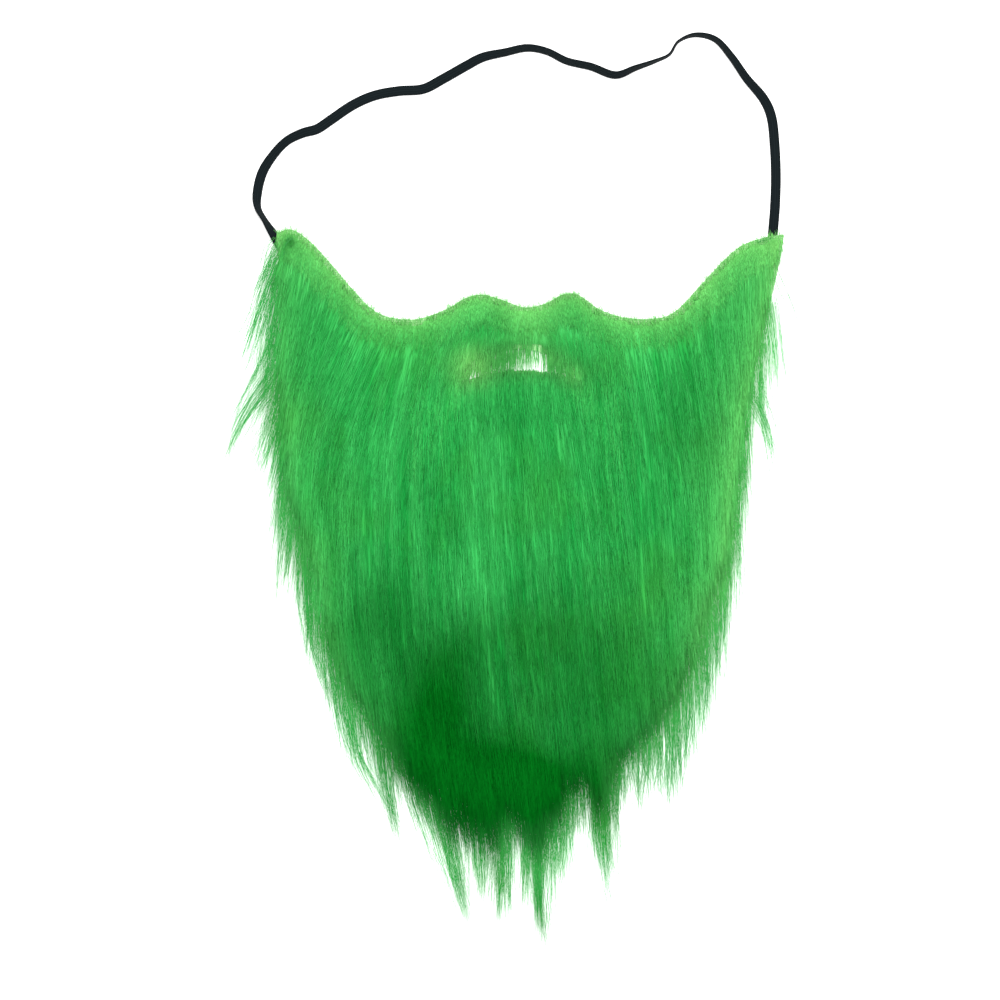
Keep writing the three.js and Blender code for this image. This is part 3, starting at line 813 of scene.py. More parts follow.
# %% [markdown]
# ## The fringe
#
# Past the thick pile the fibres run together into wisps, each a pencil of fibres that narrows to its
# tip. The wisps were laid out one by one, because their places make the beard's outline. Every fibre is
# rooted in the cloth, runs under the thick pile to the start of its wisp, and lies on the table after it.

# %% Wisps
# start x and y, tip x and y, bend to the right, width at the start and at the tip in millimetres,
# and number of fibres: round the lower edge, then up the left side and up the right side
WISPS = [
    (-34.5, -96.8, -20.5, -166.2, -2, 15, 2.5, 120), (-16.5, -101.8, -13, -156.2, 0, 8, 3, 95),
    (-5.5, -106.8, -4.5, -167.2, 1, 8.5, 3, 95), (0.5, -109.2, 1, -166.2, 0, 4, 1.5, 38),
    (8.5, -109.2, 8.5, -161.8, 0, 5, 2, 52), (17, -101.8, 15.5, -171.2, -1.5, 7.5, 1.5, 120),
    (17, -109.2, 19.5, -181.2, -2, 3, 1, 26), (22.5, -109.2, 21, -178.8, 1, 3, 1, 16),
    (23.5, -106.8, 22, -150.2, 0, 6.5, 4.5, 45), (28.5, -104.2, 26.5, -150.2, 1, 5.5, 2, 50),
    (29.5, -109.2, 34, -155.2, 0.5, 3, 3, 9), (35.5, -96.8, 35, -127.2, 0, 7.5, 5, 34),
    (45.5, -94.2, 45, -140.2, -2, 6, 2, 60), (49, -94.2, 51, -145.2, -1.5, 7, 3, 90),
    (49.5, -99.2, 52, -163.2, -2.5, 4, 1.5, 14), (52.5, -94.2, 55.5, -152.2, 0, 3, 1.5, 7),
    (57, -84.2, 55, -125.2, -0.5, 5, 2, 16), (62, -76.8, 61.5, -110.2, 0, 10, 8, 50),
    (66.5, -79.2, 67, -118.8, -0.5, 4.5, 1.5, 24), (72.5, -74.2, 73.5, -107.2, 0, 9, 6.5, 50),
    (80.5, -64.2, 80, -110.2, 0, 10, 6, 64), (80.5, -69.2, 81.5, -123.2, -1, 3, 1.5, 6),
    (85, -66.8, 86, -110.2, 0, 4, 1.5, 30), (90.5, -51.8, 91.5, -92.2, 0, 8.5, 4.5, 52),
    (96.5, -44.2, 98, -77.2, 0, 6.5, 3.5, 40), (100.5, -14.2, 102.5, -60.2, 0.5, 7.5, 4, 52),
    (104.5, 15.8, 106, -45.2, 1.5, 7, 2.5, 40), (108.5, 25.8, 110.5, -26.2, 1, 6, 3, 36),
    (112.5, 53.2, 115.5, -15.2, 1.5, 5, 2.5, 18), (115, 73.2, 119, 17.8, 1, 4, 2, 9),
    (-42.5, -76.8, -33.5, -128.2, -1.5, 10, 3, 70), (-51.5, -73.2, -40.5, -118.2, -2, 7.5, 4, 48),
    (-62, -66.8, -55, -126.2, -2, 8.5, 2, 66), (-68, -49.2, -63.5, -100.2, -1.5, 7.5, 3.5, 36),
    (-81.5, -51.8, -57.5, -117.2, -7.5, 6, 3, 30), (-79.5, -31.8, -74.5, -93.2, -1.5, 10, 4.5, 46),
    (-87, -24.2, -80.5, -86.2, -2.5, 5, 3, 34), (-100.5, 13.2, -85.5, -64.2, -6.5, 3.5, 2.5, 28),
    (-94, 8.2, -92.5, -30.2, 0, 6, 3.5, 32), (-99, 23.2, -99, -35.2, 1, 4, 2, 32),
    (-91.5, 3.2, -89, -55.2, -1, 5.5, 4, 28), (-105, 45.8, -111.5, -0.2, 0, 4, 1.5, 40),
    (-102.5, 34.8, -105.5, -10.2, 0, 3.5, 3.5, 24), (-109, 60.8, -115.5, -10.2, -0.5, 4, 3, 28),
    (-110.5, 70.8, -122.5, 17.8, 0, 4.5, 3.5, 11), (-111.5, 55.8, -114, 16.8, 0.5, 4.5, 3, 28),
    (-110.5, 109.8, -140.5, 62.8, -4.5, 7.5, 2, 44), (-116.5, 156.8, -135.5, 99.8, -1, 4.5, 4, 15),
    (-115.5, 150.8, -129.5, 117.8, 0, 6, 5, 20), (-114.5, 143.2, -124.5, 89.8, -0.5, 5.5, 7, 28),
    (-114.5, 128.2, -122.5, 79.8, 0, 5.5, 6, 24), (-110.5, 98.2, -123.5, 54.8, -1, 6, 7, 32),
    (-109.5, 91.8, -115, 54.8, 0, 5.5, 5.5, 32), (-111.5, 94.8, -131.5, 49.8, -2, 5, 7, 15),
    (-116, 164.8, -125.5, 144.8, 0, 4.5, 4, 16), (-115, 166.8, -119.5, 139.8, 0, 5, 4, 24),
    (136, 150.8, 145, 117.8, 2, 2, 2, 4), (131.5, 135.8, 134.5, 101.2, 1, 4, 1.5, 14),
    (133, 130.8, 136.5, 69.8, 1.5, 2.5, 2.5, 5), (129, 134.8, 131.5, 89.8, 0.5, 4, 5, 14),
    (126, 115.8, 127.5, 82.8, 0.5, 3.5, 1.5, 12), (120, 96.8, 133, 62.2, 3, 5.5, 2, 22),
    (126.5, 80.8, 132, 19.8, 4.5, 2, 1.5, 4), (123, 105.8, 123, 79.8, 1, 6, 4.5, 18),
    (117, 78.2, 119.5, 39.8, 0.5, 4.5, 3, 12),
]
WISP_STEPS = 7
WISP_THICKNESS = 0.15 * MM
# fibres are finer than the ones counted in the table, so there are so many times more
WISP_MORE = 2.0
STRAY_SHARE = 0.58
# how wide the stray and the other fibres of a wisp spread, against its width in the table
STRAY_WIDE, CLOSE_WIDE = 2.7, 1.1
# how far fibres reach, as a share of the wisp: the furthest, how soon others end, and stray ones
FULL_REACH, END_SOONER, STRAY_REACH = 1.19, 0.17, (0.45, 1.18)
TIP_SCATTER = 0.9 * MM


def wisp_fibres(row):
    """The fibres of one wisp, as lines on the table. Stray ones lie wider and end sooner."""
    count = int(row[7] * WISP_MORE)
    start, tip = np.array(row[0:2]) * MM, np.array(row[2:4]) * MM
    middle = (start + tip) / 2 + (2 * row[4] * MM, 0)
    heading = (tip - start) / np.linalg.norm(tip - start)
    square = np.array([-heading[1], heading[0]])
    stray = rng.random(count) < STRAY_SHARE
    wide = np.where(stray, STRAY_WIDE, CLOSE_WIDE)
    side = rng.uniform(-0.5, 0.5, count) * wide
    starts = start + square * (side * row[5] * MM)[:, None]
    ends = tip + square * ((side + rng.normal(0, 0.4, count) * wide) * row[6] * MM)[:, None]
    ends = ends + rng.normal(0, TIP_SCATTER, (count, 2)) * wide[:, None]
    middles = middle + square * ((side + rng.normal(0, 0.2, count)) * (row[5] + row[6]) / 2 * MM)[:, None]
    reach = np.clip(FULL_REACH - rng.exponential(END_SOONER, count), 0.3, None)
    reach = np.where(stray, rng.uniform(*STRAY_REACH, count), reach)
    across, down = located(starts)
    up = down - 0.06
    for _ in range(30):
        up = np.where(outside_pile(flow(beard_lines, across, up)) & (up > 0.03), up - 0.02, up)
    lines = []
    for k in range(count):
        hidden = flow(beard_lines, np.full(6, across[k]), np.linspace(up[k], down[k], 6))
        hidden = hidden + (starts[k] - hidden[-1]) * np.linspace(0.6, 1, 6)[:, None]
        t = np.linspace(0, reach[k], 8)[1:, None]
        shown = starts[k] * (1 - t) ** 2 + 2 * middles[k] * t * (1 - t) + ends[k] * t**2
        line = np.vstack([hidden, shown])
        for _ in range(3):
            line[1:-1] = (line[:-2] + 2 * line[1:-1] + line[2:]) / 4
        lines.append(even_steps(line, WISP_STEPS))
    return np.array(lines)


def laid_down(place, steepest, pile_up):
    """Gives the lines a height: on the pile first, then down to the table, never steeper than allowed."""
    count = len(place)
    height = pile_height(place) * rng.uniform(0.7, 1.0, count)[:, None]
    run = np.linalg.norm(np.diff(place, axis=1), axis=2)
    for k in range(1, place.shape[1]):
        height[:, k] = np.maximum(height[:, k], height[:, k - 1] - steepest * run[:, k - 1])
    height = np.maximum(height, FLOOR_REST + (rng.random(count) ** 2 * pile_up)[:, None])
    return np.concatenate([place, height[..., None]], 2)


wisp_lines = np.concatenate([wisp_fibres(row) for row in WISPS])
wisp_centres = laid_down(wisp_lines, 0.4, 3 * MM)
wisp_along = np.linspace(0, 1, WISP_STEPS)
order = np.argsort(wisp_centres[:, 0, 0], kind="stable")
for part, chosen in zip(("left", "right"), np.array_split(order, 2)):
    piece = fibre_piece("wisps_" + part, wisp_centres[chosen], wisp_along, WISP_THICKNESS, 0.4, 0.75, 0.2)
    fur_pieces.append(piece)

# %% [markdown]
# ## Loose ends between the wisps
#
# Between the wisps single fibres end a little past the thick pile, so its outline is never sharp.

# %% Loose ends
LOOSE_FIBRES = 5200
LOOSE_THICKNESS = 0.16 * MM
LOOSE_LOOK = {
    **BODY_LOOK, "length": 90 * MM, "length_spread": 14 * MM, "longer_below": 0,
    "stray_angle": 3, "curl": 0.05, "past": 7 * MM, "loose": 7 * MM, "layer_depth": 0.5, "drop": 0.35,
    "pile_up": 3 * MM, "lock_pull": (0.0, 0.8),
}
LOOSE_BAND = 28 * MM


def loose_density(across, down):
    """Only roots near the sides and the lower edge of the cloth count."""
    places = flow(beard_lines, across, down)
    near = inside(thick_edge, places) & (distance_to(lower_line, places) < LOOSE_BAND)
    return near * (0.3 + 0.7 * ease(0.3, 0.6, down))


across, down = sow(beard_lines, beard_lengths, LOOSE_FIBRES, loose_density, 0.95)
loose_centres, loose_along = grow(beard_lines, beard_lengths, across, down, LOOSE_LOOK)
fur_pieces.append(fibre_piece("loose_ends", loose_centres, loose_along, LOOSE_THICKNESS, 0.4, 0.75, 0.2))

# %% [markdown]
# ## The moustache
#
# The strip over the slit is the same fur, parted over the mouth. Its fibres start at the top edge, hang
# over the slit's rim and lie on the beard beside it. The fibres below the slit start high, so they hide
# the step from the rim up to the full pile.

# %% Moustache fibres
MOUSTACHE_FIBRES = 2900
MOUSTACHE_THICKNESS = 0.42 * MM
MOUSTACHE_LOOK = {
    "steps": 5, "length": 26 * MM, "length_spread": 7 * MM, "reach": 1.38, "notch": 0.0,
    "shortfall": 0.08, "tufts": 4, "tuft_pull": 0.4, "lock_from": 0.6, "lock_pull": (0.0, 0.4),
    "stray_angle": 4, "curl": 0.06, "top_level": 1.0, "layer_depth": 0.2, "root_level": 0.6,
    "rise_share": 0.4, "fluff": 1.0 * MM, "drop": 0.2, "pile_up": 0.5 * MM,
}
LIP_FIBRES = 1100
LIP_LOOK = {
    **MOUSTACHE_LOOK, "reach": 1.0, "shortfall": 0.01, "stray_angle": 2.5, "root_level": 0.9, "curl": 0.03,
    "tufts": 5,
}
LIP_BAND = 4 * MM
# how far the fibres' first step is raised towards the height of their second
LIP_ROOF = 0.7

across, down = sow(moustache_lines, moustache_lengths, MOUSTACHE_FIBRES, lambda a, d: 1 + 0 * a, 0.95)
moustache_centres, along = grow(moustache_lines, moustache_lengths, across, down, MOUSTACHE_LOOK)
spot = rng.random(LIP_FIBRES)
lip = MOUTH_MIDDLE + np.stack([
    (spot - 0.5) * MOUTH_WIDTH * 1.04,
    4 * spot * (1 - spot) * MOUTH_ARCH + 0.9 * MM - LIP_BAND * rng.random(LIP_FIBRES) ** 1.2,
], 1)
across, down = located(lip)
across = across + rng.uniform(-0.06, 0.06, len(across))
lip_centres, along = grow(beard_lines, beard_lengths, across, down, LIP_LOOK)
lip_centres[..., :2] += (lip - lip_centres[:, 0, :2])[:, None]
lip_centres[:, 0, 2] += LIP_ROOF * (lip_centres[:, 1, 2] - lip_centres[:, 0, 2])
for name, centres in (("moustache_pile", moustache_centres), ("lip_pile", lip_centres)):
    fur_pieces.append(fibre_piece(name, thinned(centres), along, MOUSTACHE_THICKNESS, 0.35))

# %% [markdown]
# ## Fibres over the mouth
#
# The slit hardly shows, because fine fibres from its upper rim hang over it. Some end in the gap and some
# on the lip, so it is closed at the top and a little open below. They are given one by one from the rim,
# because the moustache's own flow would leave gaps with hard sides.

# %% Fibres over the mouth
VEIL_FIBRES = 1150
VEIL_STEPS = 5
VEIL_THICKNESS = 0.16 * MM
VEIL_BEND = 0.5 * MM
# where along the slit the fibres are few, how far that reaches, and the share missing there
VEIL_GAPS = [(0.105, 0.06, 0.5), (0.64, 0.075, 0.75), (0.47, 0.09, 0.4), (0.934, 0.04, 0.4)]

spot = rng.random(VEIL_FIBRES)
missing = sum(share * np.exp(-(((spot - at) / reach) ** 2)) for at, reach, share in VEIL_GAPS)
spot = spot[rng.random(VEIL_FIBRES) > missing]
count = len(spot)
bulge = 4 * spot * (1 - spot)
upper = MOUTH_MIDDLE + np.stack([(spot - 0.5) * MOUTH_WIDTH, bulge * (MOUTH_ARCH + MOUTH_GAP)], 1)
root = upper + np.stack([0 * spot, rng.uniform(0, 6, count) * MM], 1)
hanging = (upper - root)[:, 1] - bulge * MOUTH_GAP * rng.uniform(0.35, 1.45, count) - 1 * MM
fanned = (0.5 - spot + rng.normal(0, 0.08, count)) * 0.25
tip = root + np.stack([fanned * hanging, hanging], 1)
along = np.linspace(0, 1, VEIL_STEPS)
place = root[:, None] + (tip - root)[:, None] * along[:, None]
place[..., 0] += rng.normal(0, VEIL_BEND, count)[:, None] * np.sin(np.pi * along)
start_height = pile_height(root) + rng.uniform(-0.8, 0.2, count) * MM
end_height = np.maximum(pile_height(tip) + 0.2 * MM, start_height * 0.7)
height = start_height[:, None] * (1 - along) + end_height[:, None] * along
veil = np.concatenate([place, height[..., None]], 2)
fur_pieces.append(fibre_piece("mouth_fibres", veil, along, VEIL_THICKNESS, 0.35, 0.8))

# %% [markdown]
# ## Short pile along the cut edge
#
# Where the cloth was cut, the fibres were cut too. What is left stands up and leans over the edge a little.
# Its own green is yellower, and painted light makes it paler along the cut.

# %% Edge fibres
EDGE_FIBRES = 9500
EDGE_BAND = 12 * MM
EDGE_STEPS = 3
EDGE_THICKNESS = 0.28 * MM
FUZZ_THICKNESS = 0.16 * MM
# the share of fibres at the very edge that lean outward, how soon that fades inward, and how far they lean
OUTWARD_SHARE, OUTWARD_REACH, OUTWARD_LEAN = 0.9, 2.4 * MM, 0.65

spot = rng.uniform(0, len(top_line) - 1.001, EDGE_FIBRES)
i = spot.astype(int)
on_edge = top_line[i] + (top_line[i + 1] - top_line[i]) * (spot - i)[:, None]
run = top_line[i + 1] - top_line[i]
inward = np.stack([run[:, 1], -run[:, 0]], 1) / np.linalg.norm(run, axis=1)[:, None]
depth = EDGE_BAND * rng.random(EDGE_FIBRES) ** 1.4
root = on_edge + inward * depth[:, None]
keep = ~outside_pile(root)
root, inward, depth = root[keep], inward[keep], depth[keep]
count = len(root)
across, down = located(root)
heading = flow(beard_lines, across, np.minimum(down + 0.05, 1)) - flow(beard_lines, across, down)
heading /= np.linalg.norm(heading, axis=1)[:, None] + 1e-9
lean = heading * 0.9 + rng.normal(0, 0.16, (count, 2))
outward = rng.random(count) < OUTWARD_SHARE * np.exp(-depth / OUTWARD_REACH)
lean[outward] = -inward[outward] * OUTWARD_LEAN + rng.normal(0, 0.3, (outward.sum(), 2))
hair = rng.uniform(4, 9, count) * MM * (0.5 + 0.5 * ease(0, EDGE_BAND, depth))
thickness = np.where(outward, FUZZ_THICKNESS, EDGE_THICKNESS)[:, None]
along = np.linspace(0, 1, EDGE_STEPS)
place = root[:, None] + lean[:, None] * (hair[:, None] * along)[..., None]
over = np.maximum(pile_height(place), CUT_HEIGHT + tab_lift(root)[:, None])
sunk = rng.uniform(0.15, 0.6, count)[:, None] * MM
height = over - sunk + 2 * sunk * along
centres = np.concatenate([place, np.maximum(height, FLOOR_REST)[..., None]], 2)
fur_pieces.append(fibre_piece("edge_pile", centres, along, thickness, 0.35))

# %% [markdown]
# ## The dense pile underneath
#
# Between the fibres one looks down into more fibres, never at the cloth. A grid pulled up to a little
# below the fibre tops stands for that mass. It is cut back from the edges, so only fibres show there.

# %% Under-pile
GRID = 2.5 * MM
UNDER_LEVEL = 0.95
UNDER_INSET = 0.8 * MM


def under_pile_mesh():
    low, high = cloth_line.min(0), cloth_line.max(0)
    across, down = ((high - low) / GRID).astype(int)
    bm = bmesh.new()
    bmesh.ops.create_grid(bm, x_segments=int(across), y_segments=int(down), size=0.5)
    bmesh.ops.scale(bm, vec=(high[0] - low[0], high[1] - low[1], 1), verts=bm.verts)
    bmesh.ops.translate(bm, vec=(*((low + high) / 2), 0), verts=bm.verts)
    places = np.array([v.co[:2] for v in bm.verts])
    rim = np.vstack([cloth_line, cloth_line[:1]])
    apart = np.minimum(distance_to(rim, places), distance_to(slit_loop, places))
    bad = outside_pile(places) | (apart < UNDER_INSET)
    floor = CLOTH_THICKNESS + 0.3 * MM + tab_lift(places)
    heights = np.maximum(pile_height(places) * UNDER_LEVEL - 0.3 * MM, floor)
    for v, z in zip(bm.verts, heights):
        v.co.z = z
    bmesh.ops.delete(bm, geom=[v for v, gone in zip(bm.verts, bad) if gone], context="VERTS")
    bmesh.ops.smooth_vert(bm, verts=bm.verts, factor=0.5, use_axis_x=True, use_axis_y=True)
    lower = bmesh.ops.extrude_face_region(bm, geom=bm.faces[:])["geom"]
    for v in lower:
        if isinstance(v, bmesh.types.BMVert):
            v.co.z = CLOTH_THICKNESS + 0.1 * MM
    bmesh.ops.recalc_face_normals(bm, faces=bm.faces)
    mesh = mesh_from(bm, "under_pile")
    mesh.shade_smooth()
    places = np.array([v.co[:2] for v in mesh.vertices])
    across, down = located(places)
    run = np.interp(across, np.arange(len(beard_lengths)), beard_lengths)
    lay = np.stack([across * 12 * MM, down * run], 1)
    uv = mesh.uv_layers.new(name="lay")
    corners = np.array([loop.vertex_index for loop in mesh.loops])
    uv.data.foreach_set("uv", lay[corners].ravel())
    # the same values as on the fibres: the streaks, painted shade and painted light
    for key, value in {"along": 0.5 + 0 * across, "shade": streaks(across, down),
                       "dark": painted_shade(places), "pale": painted_light(places)}.items():
        mesh.attributes.new(key, "FLOAT", "POINT").data.foreach_set("value", value.astype(np.float32))
    return mesh


under_pile = new_object("under_pile", under_pile_mesh())
print("under-pile:", len(under_pile.data.polygons), "faces")

# %% [markdown]
# ## The two tacks
#
# A short row of stitches in green thread holds each end of the strap. It pulls the pile in, and the small
# dark dimple there is painted shade in the fur's colour, not a shape.

# %% Tacks
THREAD = 0.26 * MM
STITCH_LIFT = 0.5 * MM
# x and y of each stitch in millimetres, its length and its turn from the x axis in degrees
STITCHES_LEFT = [
    (-110.2, 168.4, 2.6, 70), (-109.2, 169.6, 3, 50), (-108.1, 170.6, 3, 35), (-109.6, 170.8, 2.4, 80),
    (-111.2, 163.9, 2, 75),
]
STITCHES_RIGHT = [(126.2, 169.8, 2.6, 20), (128.9, 170.6, 3, 12), (131.7, 171.3, 2.8, 15)]


def tack_mesh(name, stitches):
    """Short flattened beads of thread, one a stitch, on top of the pile."""
    bm = bmesh.new()
    for x, y, length, turn in stitches:
        bead = bmesh.ops.create_uvsphere(bm, u_segments=10, v_segments=8, radius=THREAD)["verts"]
        bmesh.ops.scale(bm, vec=(length * MM / 2 / THREAD, 1, 0.9), verts=bead)
        spin = Matrix.Rotation(math.radians(turn), 3, "Z")
        bmesh.ops.rotate(bm, cent=(0, 0, 0), matrix=spin, verts=bead)
        z = max(float(pile_height(np.array([[x, y]]) * MM)[0]), CLOTH_THICKNESS + TAB_LIFT)
        bmesh.ops.translate(bm, vec=(x * MM, y * MM, z + STITCH_LIFT), verts=bead)
    mesh = mesh_from(bm, name)
    mesh.shade_smooth()
    return mesh


tacks = []
for name, stitches in (("tack_left", STITCHES_LEFT), ("tack_right", STITCHES_RIGHT)):
    tacks.append(new_object(name, tack_mesh(name, stitches)))
print("tacks:", [t.name for t in tacks])

# %% [markdown]
# ## Finishes
#
# One node group gives every fibre its colour from the values on the mesh: painted shade at the root and
# painted light at the tip, a little different from fibre to fibre, painted shade in the thick part and
# painted light at the edges. Each material places it with its own numbers, because the short pile is
# yellower than the long.


# %% Fibre colour group
def new_group(name, inputs, outputs):
    group = bpy.data.node_groups.new(name, "ShaderNodeTree")
    for label, kind, value in inputs:
        socket = group.interface.new_socket(name=label, in_out="INPUT", socket_type=kind)
        socket.default_value = value
    for label, kind in outputs:
        group.interface.new_socket(name=label, in_out="OUTPUT", socket_type=kind)
    return group, group.nodes.new("NodeGroupInput"), group.nodes.new("NodeGroupOutput")


def mix_colour(tree, share, first, second, blend="MIX"):
    node = tree.nodes.new("ShaderNodeMix")
    node.data_type = "RGBA"
    node.blend_type = blend
    for socket, value in ((node.inputs[0], share), (node.inputs[6], first), (node.inputs[7], second)):
        if isinstance(value, bpy.types.NodeSocket):
            tree.links.new(value, socket)
        else:
            socket.default_value = value
    return node.outputs[2]


def calculate(tree, operation, *values):
    node = tree.nodes.new("ShaderNodeMath")
    node.operation = operation
    for socket, value in zip(node.inputs, values):
        if isinstance(value, bpy.types.NodeSocket):
            tree.links.new(value, socket)
        else:
            socket.default_value = value
    return node.outputs[0]


def read_value(tree, name):
    node = tree.nodes.new("ShaderNodeAttribute")
    node.attribute_name = name
    return node.outputs["Fac"]


def remap(tree, value, low, high, new_low, new_high):
    node = tree.nodes.new("ShaderNodeMapRange")
    for socket, number in zip(node.inputs[1:5], (low, high, new_low, new_high)):
        socket.default_value = number
    tree.links.new(value, node.inputs[0])
    return node.outputs[0]


# LONG_GREEN and YELLOW_GREEN are the fibres' own colours. LIGHT_GREEN and MOUSTACHE_LIGHT are their own
# lighter tone with painted sheen. The darkest green is painted shade and the palest is painted light.
LONG_GREEN = (0.005, 0.29, 0.042, 1)
LIGHT_GREEN = (0.052, 0.46, 0.11, 1)
PAINTED_SHADE_GREEN = (0.0001, 0.135, 0.0075, 1)
PAINTED_LIGHT_GREEN = (0.21, 0.62, 0.165, 1)
YELLOW_GREEN = (0.05, 0.36, 0.045, 1)
MOUSTACHE_GREEN = (0.02, 0.35, 0.06, 1)
MOUSTACHE_LIGHT = (0.07, 0.5, 0.12, 1)

fibre_group, group_in, group_out = new_group(
    "dyed_fibre",
    [("Green", "NodeSocketColor", LONG_GREEN), ("Light", "NodeSocketColor", LIGHT_GREEN),
     ("Dark", "NodeSocketColor", PAINTED_SHADE_GREEN),
     ("Pale", "NodeSocketColor", PAINTED_LIGHT_GREEN), ("Pale share", "NodeSocketFloat", 0.8),
     ("Uneven", "NodeSocketFloat", 0.3)],
    [("Color", "NodeSocketColor"), ("Roughness", "NodeSocketFloat")],
)
place = fibre_group.nodes.new("ShaderNodeTexCoord").outputs["Object"]
blotch = fibre_group.nodes.new("ShaderNodeTexNoise")
blotch.inputs["Scale"].default_value = 22
blotch.inputs["Detail"].default_value = 3
fibre_group.links.new(place, blotch.inputs["Vector"])
warm = remap(fibre_group, blotch.outputs["Fac"], 0.5, 0.75, 0, 0.4)
# the shade value mixes each fibre between green and light green: own tone at random, painted sheen in the
# streaks
colour = mix_colour(fibre_group, read_value(fibre_group, "shade"), group_in.outputs["Green"],
                    group_in.outputs["Light"])
colour = mix_colour(fibre_group, warm, colour, YELLOW_GREEN)
# painted shade: the dark value, with a little noise, mixes in the darkest green
dark = calculate(fibre_group, "ADD", read_value(fibre_group, "dark"),
                 remap(fibre_group, blotch.outputs["Fac"], 0.3, 0.7, -0.12, 0.12))
dark = remap(fibre_group, dark, 0, 0.85, 0, 1)
colour = mix_colour(fibre_group, dark, colour, group_in.outputs["Dark"])
# painted light: the pale value mixes in the palest green, less where there is painted shade
pale = calculate(fibre_group, "MULTIPLY", read_value(fibre_group, "pale"), group_in.outputs["Pale share"])
pale = calculate(fibre_group, "MULTIPLY", pale, calculate(fibre_group, "SUBTRACT", 1.0, dark))
colour = mix_colour(fibre_group, pale, colour, group_in.outputs["Pale"])
# each fibre a little brighter or darker by the same value: own tone and painted sheen
bright = calculate(fibre_group, "SUBTRACT", read_value(fibre_group, "shade"), 0.5)
bright = calculate(fibre_group, "MULTIPLY", bright, group_in.outputs["Uneven"])
# painted shade at the root, deep in the pile, and painted light at the tip
tip = remap(fibre_group, read_value(fibre_group, "along"), 0, 1, 0.82, 1.1)
bright = calculate(fibre_group, "ADD", bright, tip)
lit = fibre_group.nodes.new("ShaderNodeVectorMath")
lit.operation = "SCALE"
fibre_group.links.new(colour, lit.inputs[0])
fibre_group.links.new(bright, lit.inputs["Scale"])
fibre_group.links.new(lit.outputs[0], group_out.inputs["Color"])
rough = remap(fibre_group, read_value(fibre_group, "shade"), 0, 1, 0.38, 0.6)
fibre_group.links.new(rough, group_out.inputs["Roughness"])
print("fibre group:", len(fibre_group.nodes), "nodes")


# %% [markdown]
# ## The materials
#
# Acrylic fibre is silky: a soft shine over a strong dye. A little of the light that falls on one side of
# a fibre comes out on the other, so the gaps between fibres are never black. Thin tubes with scattering
# inside would take long to render, so a small share of the fibre's own colour is given off instead. The
# knit back shows rows of small loops, and the elastic shows its slanting braid, both as bumps.

# %% Materials
def new_material(name):
    material = bpy.data.materials.new(name)
    material.use_nodes = True
    tree = material.node_tree
    return material, tree, tree.nodes["Principled BSDF"]


def fibre_material(name, green, light, dark, pale_share, uneven, let_through):
    material, tree, shader = new_material(name)
    node = tree.nodes.new("ShaderNodeGroup")
    node.node_tree = fibre_group
    for label, value in (("Green", green), ("Light", light), ("Dark", dark), ("Pale", PAINTED_LIGHT_GREEN),
                         ("Pale share", pale_share), ("Uneven", uneven)):
        node.inputs[label].default_value = value
    tree.links.new(node.outputs["Color"], shader.inputs["Base Color"])
    tree.links.new(node.outputs["Color"], shader.inputs["Emission Color"])
    tree.links.new(node.outputs["Roughness"], shader.inputs["Roughness"])
    shader.inputs["Emission Strength"].default_value = let_through
    shader.inputs["IOR"].default_value = 1.08
    return material


long_fibre = fibre_material("long_fibre", LONG_GREEN, LIGHT_GREEN, PAINTED_SHADE_GREEN, 0.7, 0.1, 0.15)
thin_fibre = fibre_material("thin_fibre", LONG_GREEN, LIGHT_GREEN, PAINTED_SHADE_GREEN, 0.7, 0.1, 0.3)
lip_fibre = fibre_material("lip_fibre", MOUSTACHE_GREEN, MOUSTACHE_LIGHT, PAINTED_SHADE_GREEN, 0.8, 0.1, 0.15)
short_fibre = fibre_material(
    "short_fibre", (0.035, 0.38, 0.07, 1), (0.1, 0.54, 0.13, 1), PAINTED_SHADE_GREEN, 1.0, 0.1, 0.25
)
deep_fibre = fibre_material("deep_fibre", LONG_GREEN, LIGHT_GREEN, PAINTED_SHADE_GREEN, 1.0, 0, 0.2)
tree, shader = deep_fibre.node_tree, deep_fibre.node_tree.nodes["Principled BSDF"]
lay = tree.nodes.new("ShaderNodeUVMap")
lay.uv_map = "lay"
drawn_out = tree.nodes.new("ShaderNodeMapping")
drawn_out.inputs["Scale"].default_value = (1500, 60, 1)
tree.links.new(lay.outputs["UV"], drawn_out.inputs["Vector"])
strands = tree.nodes.new("ShaderNodeTexNoise")
strands.inputs["Scale"].default_value = 1
strands.inputs["Detail"].default_value = 2
tree.links.new(drawn_out.outputs["Vector"], strands.inputs["Vector"])


def wave(tree, vector, scale, direction, distortion):
    node = tree.nodes.new("ShaderNodeTexWave")
    node.bands_direction = direction
    node.inputs["Scale"].default_value = scale
    node.inputs["Distortion"].default_value = distortion
    node.inputs["Detail"].default_value = 2
    tree.links.new(vector, node.inputs["Vector"])
    return node.outputs["Fac"]


def bump(tree, height, shader, strength, distance):
    node = tree.nodes.new("ShaderNodeBump")
    node.inputs["Strength"].default_value = strength
    node.inputs["Distance"].default_value = distance
    tree.links.new(height, node.inputs["Height"])
    tree.links.new(node.outputs["Normal"], shader.inputs["Normal"])


bump(tree, strands.outputs["Fac"], shader, 0.5, 0.5 * MM)


def knit_material():
    material, tree, shader = new_material("knit_back")
    place = tree.nodes.new("ShaderNodeTexCoord").outputs["Object"]
    wales = wave(tree, place, 260, "X", 1.5)
    courses = wave(tree, place, 330, "Y", 1.0)
    loops = calculate(tree, "MULTIPLY", wales, courses)
    colour = mix_colour(tree, loops, (0.2, 0.5, 0.17, 1), (0.5, 0.8, 0.42, 1))
    tree.links.new(colour, shader.inputs["Base Color"])
    shader.inputs["Roughness"].default_value = 0.85
    bump(tree, loops, shader, 0.6, 0.4 * MM)
    return material


